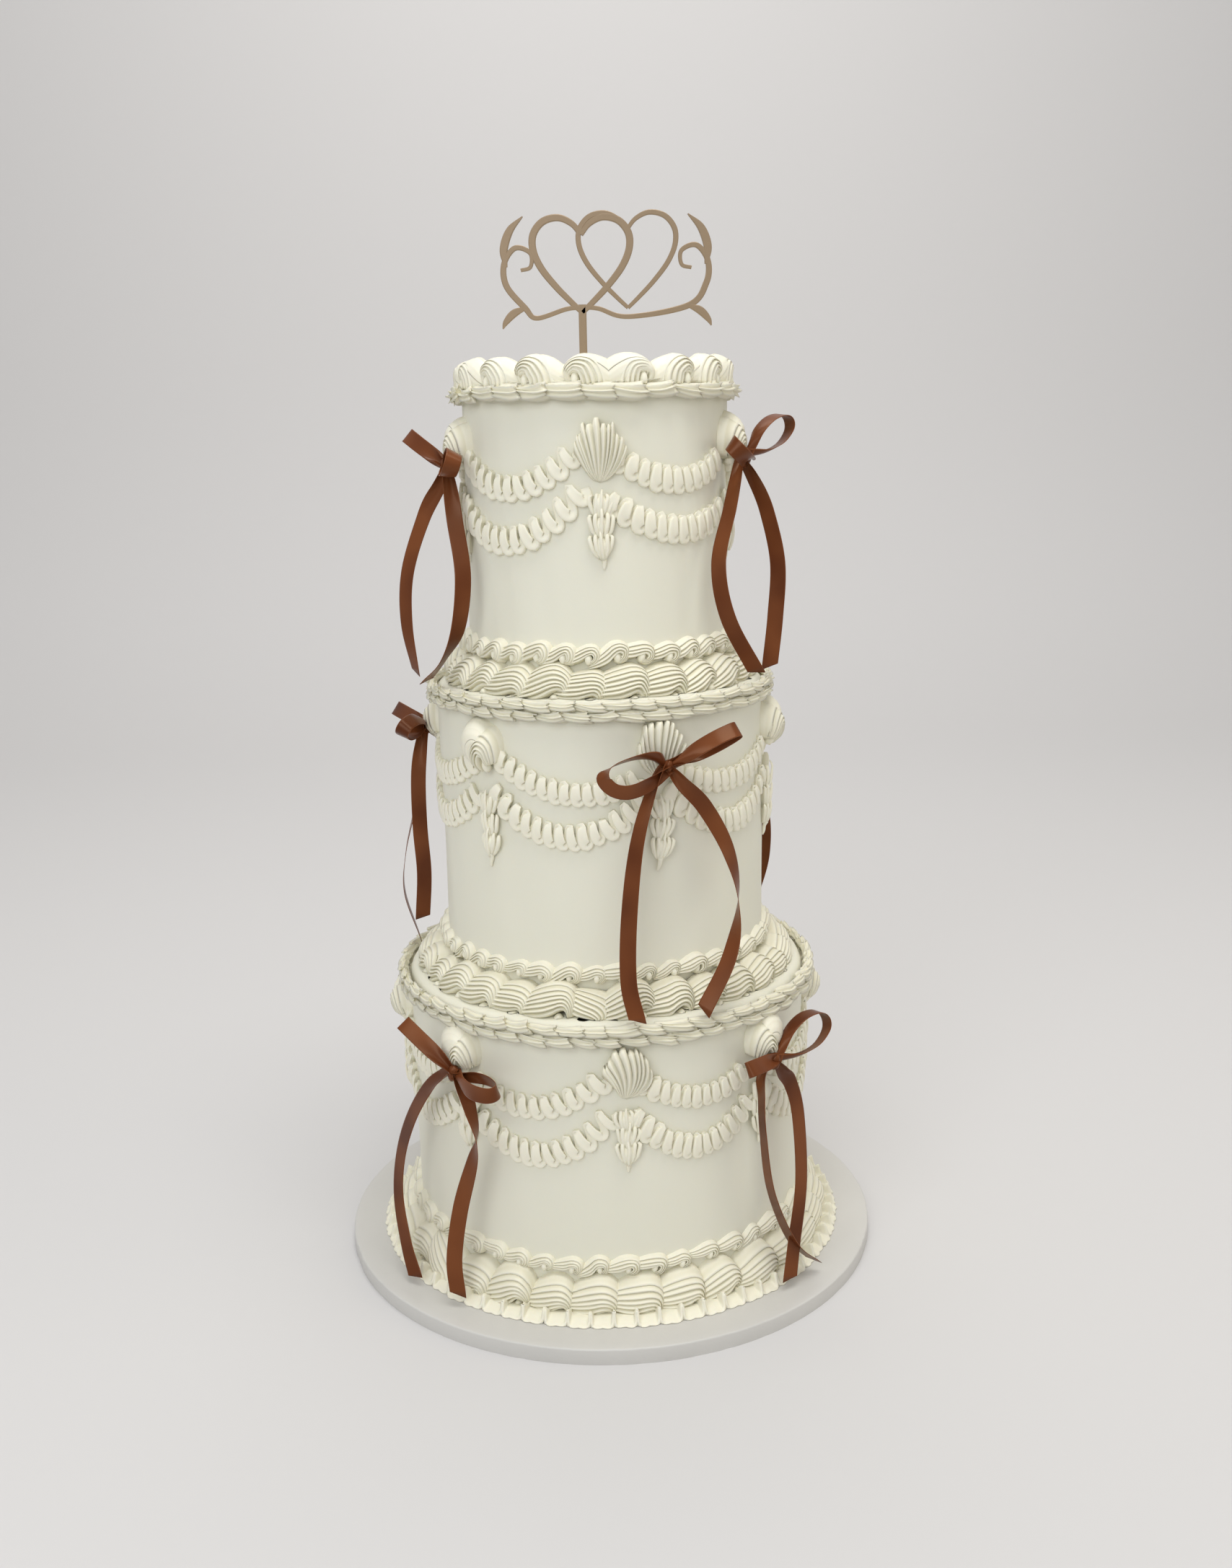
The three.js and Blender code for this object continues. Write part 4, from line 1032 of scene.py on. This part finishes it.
# Each bow: the azimuth and the height of its knot, two loops and two tails.
bows = {
    "top_left": (
        -72, 519, loop((-31, 19, 17), 6, -34, -52), loop((34, 3, 4), 15, 60, 84),
        tail((-2, -12, 5, -72), (-7, -32, 15, -45), (-12, -64, 25, -40), (-12, -95, 27, -35),
             (-10, -126, 23, -12)),
        tail((7, -12, 0, -72), (16, -32, 0, -76), (27, -64, -1, -82), (25, -96, 3, -105),
             (16, -116, 11, -145), (7, -129, 20, -130)),
    ),
    "top_right": (
        72, 522, loop((-32, 5, 2), 14, 30, 60), loop((28, 21, 22), 17, 78, 60),
        tail((-9, -10, -1, 118), (-23, -32, -4, 112), (-38, -62, -7, 104), (-39, -94, -1, 92),
             (-28, -128, 14, 80)),
        tail((2, -10, 5, 110), (4, -32, 13, 104), (5, -64, 20, 96), (4, -97, 19, 80), (2, -129, 16, 72)),
    ),
    "middle_front": (
        19, 348,
        [(0, 0, 0, 0, 1, 0.2, 1.0), (-9.7, 5.6, 3, 0, 0.7, 0.7, 0.5), (-21.6, 7.4, 5, 0, 0.5, 0.9, 0.1),
         (-33.5, 5.4, 6, 0.1, 0.45, 0.9, 0), (-39.8, 1.6, 6, 0.35, 0.5, 0.8, 0),
         (-41.2, -3.6, 6, 0.65, 0.35, 0.7, 0), (-35.5, -9.6, 7, 0.45, 0.75, 0.55, 0),
         (-25.8, -11.4, 7.5, 0.15, 0.95, 0.3, 0), (-13.8, -7.8, 5, -0.1, 1, 0.2, 0.3),
         (0, 0, 0, 0, 1, 0.2, 1.0)],
        loop((41, 20, 9), 11, -28, -46),
        tail((-8, -12, 1, 70), (-20, -40, 3, 58), (-28, -82, 8, 36), (-32, -122, 15, 26),
             (-29, -146, 21, 22)),
        tail((8, -10, 1, 10), (23, -27, 1, 4), (38, -55, 1, -20), (43, -84, 4, -64), (33, -116, 14, -128),
             (12, -145, 23, -150)),
    ),
    "middle_left": (
        -100, 350, loop((-26, 7, 29), 7, -32, -50), loop((34, 4, 6), 14, 50, 70),
        tail((-2, -12, 3, -30), (-4, -30, 7, -24), (-7, -60, 14, -20), (-9, -90, 22, -16),
             (-8, -118, 24, -14), (-4, -150, 13, -20)),
        tail((4, -12, 3, -96), (9, -33, 5, -100), (14, -66, 4, -104), (13, -98, 3, -100), (8, -131, 7, -96)),
    ),
    "middle_back": (
        140, 349, loop((-44, 8, 10), 16, 60, 45), loop((42, 12, 7), 14, 30, 55),
        tail((-9, -12, 2, -20), (-25, -36, 5, -30), (-41, -71, 8, -36), (-39, -106, 14, -30),
             (-25, -142, 22, 10)),
        tail((5, -12, 2, 30), (13, -36, 5, 20), (22, -72, 8, 10), (24, -107, 14, -10), (20, -142, 23, -20)),
    ),
    "bottom_left": (
        -41, 159, loop((-34, 27, 9), 6, -40, -58), loop((42, 0, 7), 14, 24, -6),
        tail((-9, -5, 0, 20), (-23, -16, 1, 14), (-40, -41, 1, 10), (-52, -70, 1, 8), (-53, -98, 4, 4),
             (-40, -124, 11, 0), (-27, -141, 16, -10)),
        tail((7, -7, 1, -60), (17, -21, 3, -96), (23, -36, 5, -132), (19, -52, 6, -176), (11, -84, 10, -212),
             (9, -116, 15, -220), (13, -138, 17, -216)),
    ),
    "bottom_right": (
        45, 159, loop((-30, 5, 5), 8, -22, -44), loop((42, 18, 8), 21, 84, 62),
        tail((-9, -8, 0, 112), (-14, -19, 2, 116), (-16, -42, 5, 114), (-13, -80, 9, 106), (2, -118, 14, 92),
             (22, -139, 16, 80)),
        tail((6, -8, 1, 20), (15, -20, 2, 14), (19, -42, 5, 12), (16, -84, 10, 10), (3, -118, 15, 14),
             (-5, -140, 18, 20)),
    ),
    "bottom_back_right": (
        139, 160, loop((-44, 12, 6), 15, 60, 45), loop((42, 6, 7), 16, 35, 60),
        tail((-6, -12, 2, -30), (-17, -36, 4, -44), (-28, -71, 6, -50), (-30, -106, 11, -40),
             (-25, -141, 16, -20)),
        tail((6, -12, 2, 30), (18, -36, 4, 24), (28, -72, 7, 10), (26, -107, 11, -10), (12, -141, 17, -24)),
    ),
    "bottom_back_left": (
        -131, 158, loop((-42, 8, 7), 16, 45, 60), loop((45, 14, 6), 14, 25, 45),
        tail((-7, -12, 2, 40), (-20, -35, 4, 34), (-32, -70, 6, 26), (-30, -106, 11, 16), (-18, -139, 17, 6)),
        tail((4, -12, 2, -20), (11, -35, 4, -34), (19, -70, 8, -45), (22, -105, 12, -40),
             (23, -138, 16, -30)),
    ),
}


def from_knot(rings, azimuth, radius, height):
    """Places points (across, up, out) from a knot that is at an azimuth, a radius and a height."""
    a = math.radians(azimuth)
    right, outwards = np.array((math.cos(a), math.sin(a), 0)), np.array((math.sin(a), -math.cos(a), 0))
    place = outwards * radius + np.array((0, 0, height))
    upwards = np.array((0, 0, 1.0))
    return place + rings[..., :1] * right + rings[..., 2:] * outwards + rings[..., 1:2] * upwards


for name, (azimuth, height, *loops_and_tails) in bows.items():
    tier_name = name.split("_")[0]
    radius = tiers[tier_name]["radius"] + knot_out
    wrap = np.array(knot) * (pulled_tight if name == "middle_front" else 1)
    strips = [ribbon(stations, loop_steps) for stations in loops_and_tails[:2]] + [ribbon(wrap, knot_steps)]
    strips += [ribbon(stations, tail_steps, cut) for stations, cut in zip(loops_and_tails[2:], tail_slants)]
    strip_rings = [from_knot(rings, azimuth, radius, height) for rings, edge, length in strips]
    tied = tubes("satin_bow_" + name, strip_rings, ribbon_satin)
    mark(tied, "selvedge", [edge for rings, edge, length in strips])
    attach(tied, "root")
    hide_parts("bow_" + name)


# ---- Topper ----------------------------------------------
# Two interlaced hearts between leafy scrolls, cut in one outline from 3 mm sheet and painted satin
# gold-brown. Its flat stick stands in a slot in the top tier.

sheet_thickness = 3.0
sheet_edge = 0.25
crossing_step = 0.015
topper_x = 9
topper_z = 633.5
stick_x = -6 - topper_x
stick_width = 4.8
stick_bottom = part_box("topper")[0].z * 1000 - topper_z
heart_size = 52
heart_half = [
    (0.00, 0.31), (0.10, 0.43), (0.26, 0.50), (0.44, 0.46), (0.555, 0.32), (0.56, 0.14), (0.47, -0.06),
    (0.30, -0.27), (0.13, -0.44), (0.00, -0.56),
]
heart_places = (((-15, 5), 4.4, 3.0), ((13, 7.3), 3.2, 2.2))
scroll_curve = [
    (50, -21, 3.6), (61, -8, 3.8), (62, 5, 3.4), (55, 14, 3.0), (46, 11, 2.6), (46, 3, 2.2), (52, 1, 2.0),
]
low_leaf = [(50, -21, 2.0), (57, -24, 4.6), (62, -29, 3.4), (64, -33, 0.6)]
high_leaf = [(61, 3, 2.0), (62, 13, 4.8), (58, 24, 4.4), (50, 32, 0.6)]

gilt_paint, gilt_shader = principled("gilt_paint", (0.30, 0.217, 0.135), 0.42)
fill(gilt_shader, {"Metallic": 0.25})
gilt_tree = gilt_paint.node_tree
relieve(gilt_tree, noise(gilt_tree, 900, 2).outputs["Fac"], 0.0001, 0.2, gilt_shader)


def cut_stroke(stations, steps, shift):
    """Rings of a flat cut stroke, with its two faces moved in by the shift. Each station is x, z and
    the stroke's width, in the sheet's face."""
    rows = through(stations, steps)
    centre, half = rows[:, :2], rows[:, 2] / 2
    along = unit(np.gradient(centre, axis=0))
    side = np.stack([-along[:, 1], along[:, 0]], 1)
    y = sheet_thickness / 2 - shift
    section = [(1, -y + sheet_edge), (1 - sheet_edge, -y), (sheet_edge - 1, -y), (-1, -y + sheet_edge)]
    section += [(-w, -v) for w, v in section]
    rings = []
    for w, v in section:
        edge = centre + side * (half * w)[:, None]
        rings.append(np.stack([edge[:, 0], np.full(steps, v), edge[:, 1]], 1))
    return np.stack(rings, 1)


cut_strokes = []
for (heart_x, heart_z), outside, inside in heart_places:
    for side in (1, -1):
        half = []
        for number, (x, z) in enumerate(heart_half):
            width = inside + (outside - inside) * math.sin(math.pi * number / (len(heart_half) - 1))
            half.append((heart_x + side * x * heart_size, heart_z + z * heart_size, width))
        cut_strokes.append((half, 46))
for side in (1, -1):
    branch = [(stick_x, -21, 2.6), (stick_x + side * 10, -22, 2.6), (stick_x + side * 28, -27, 2.8)]
    for line, curve, steps in ((branch, scroll_curve, 90), ([], low_leaf, 20), ([], high_leaf, 24)):
        cut_strokes.append((line + [(side * x, z, width) for x, z, width in curve], steps))
cut_strokes.append(([(stick_x, z, stick_width) for z in (stick_bottom, -60, -24, -19.5)], 6))

topper_rings = [
    cut_stroke(stations, steps, crossing_step * (number % 5)) + (topper_x, 0, topper_z)
    for number, (stations, steps) in enumerate(cut_strokes)
]
topper = tubes("cut_topper", topper_rings, gilt_paint)
topper.data.shade_flat()
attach(topper, "root")
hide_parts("topper")
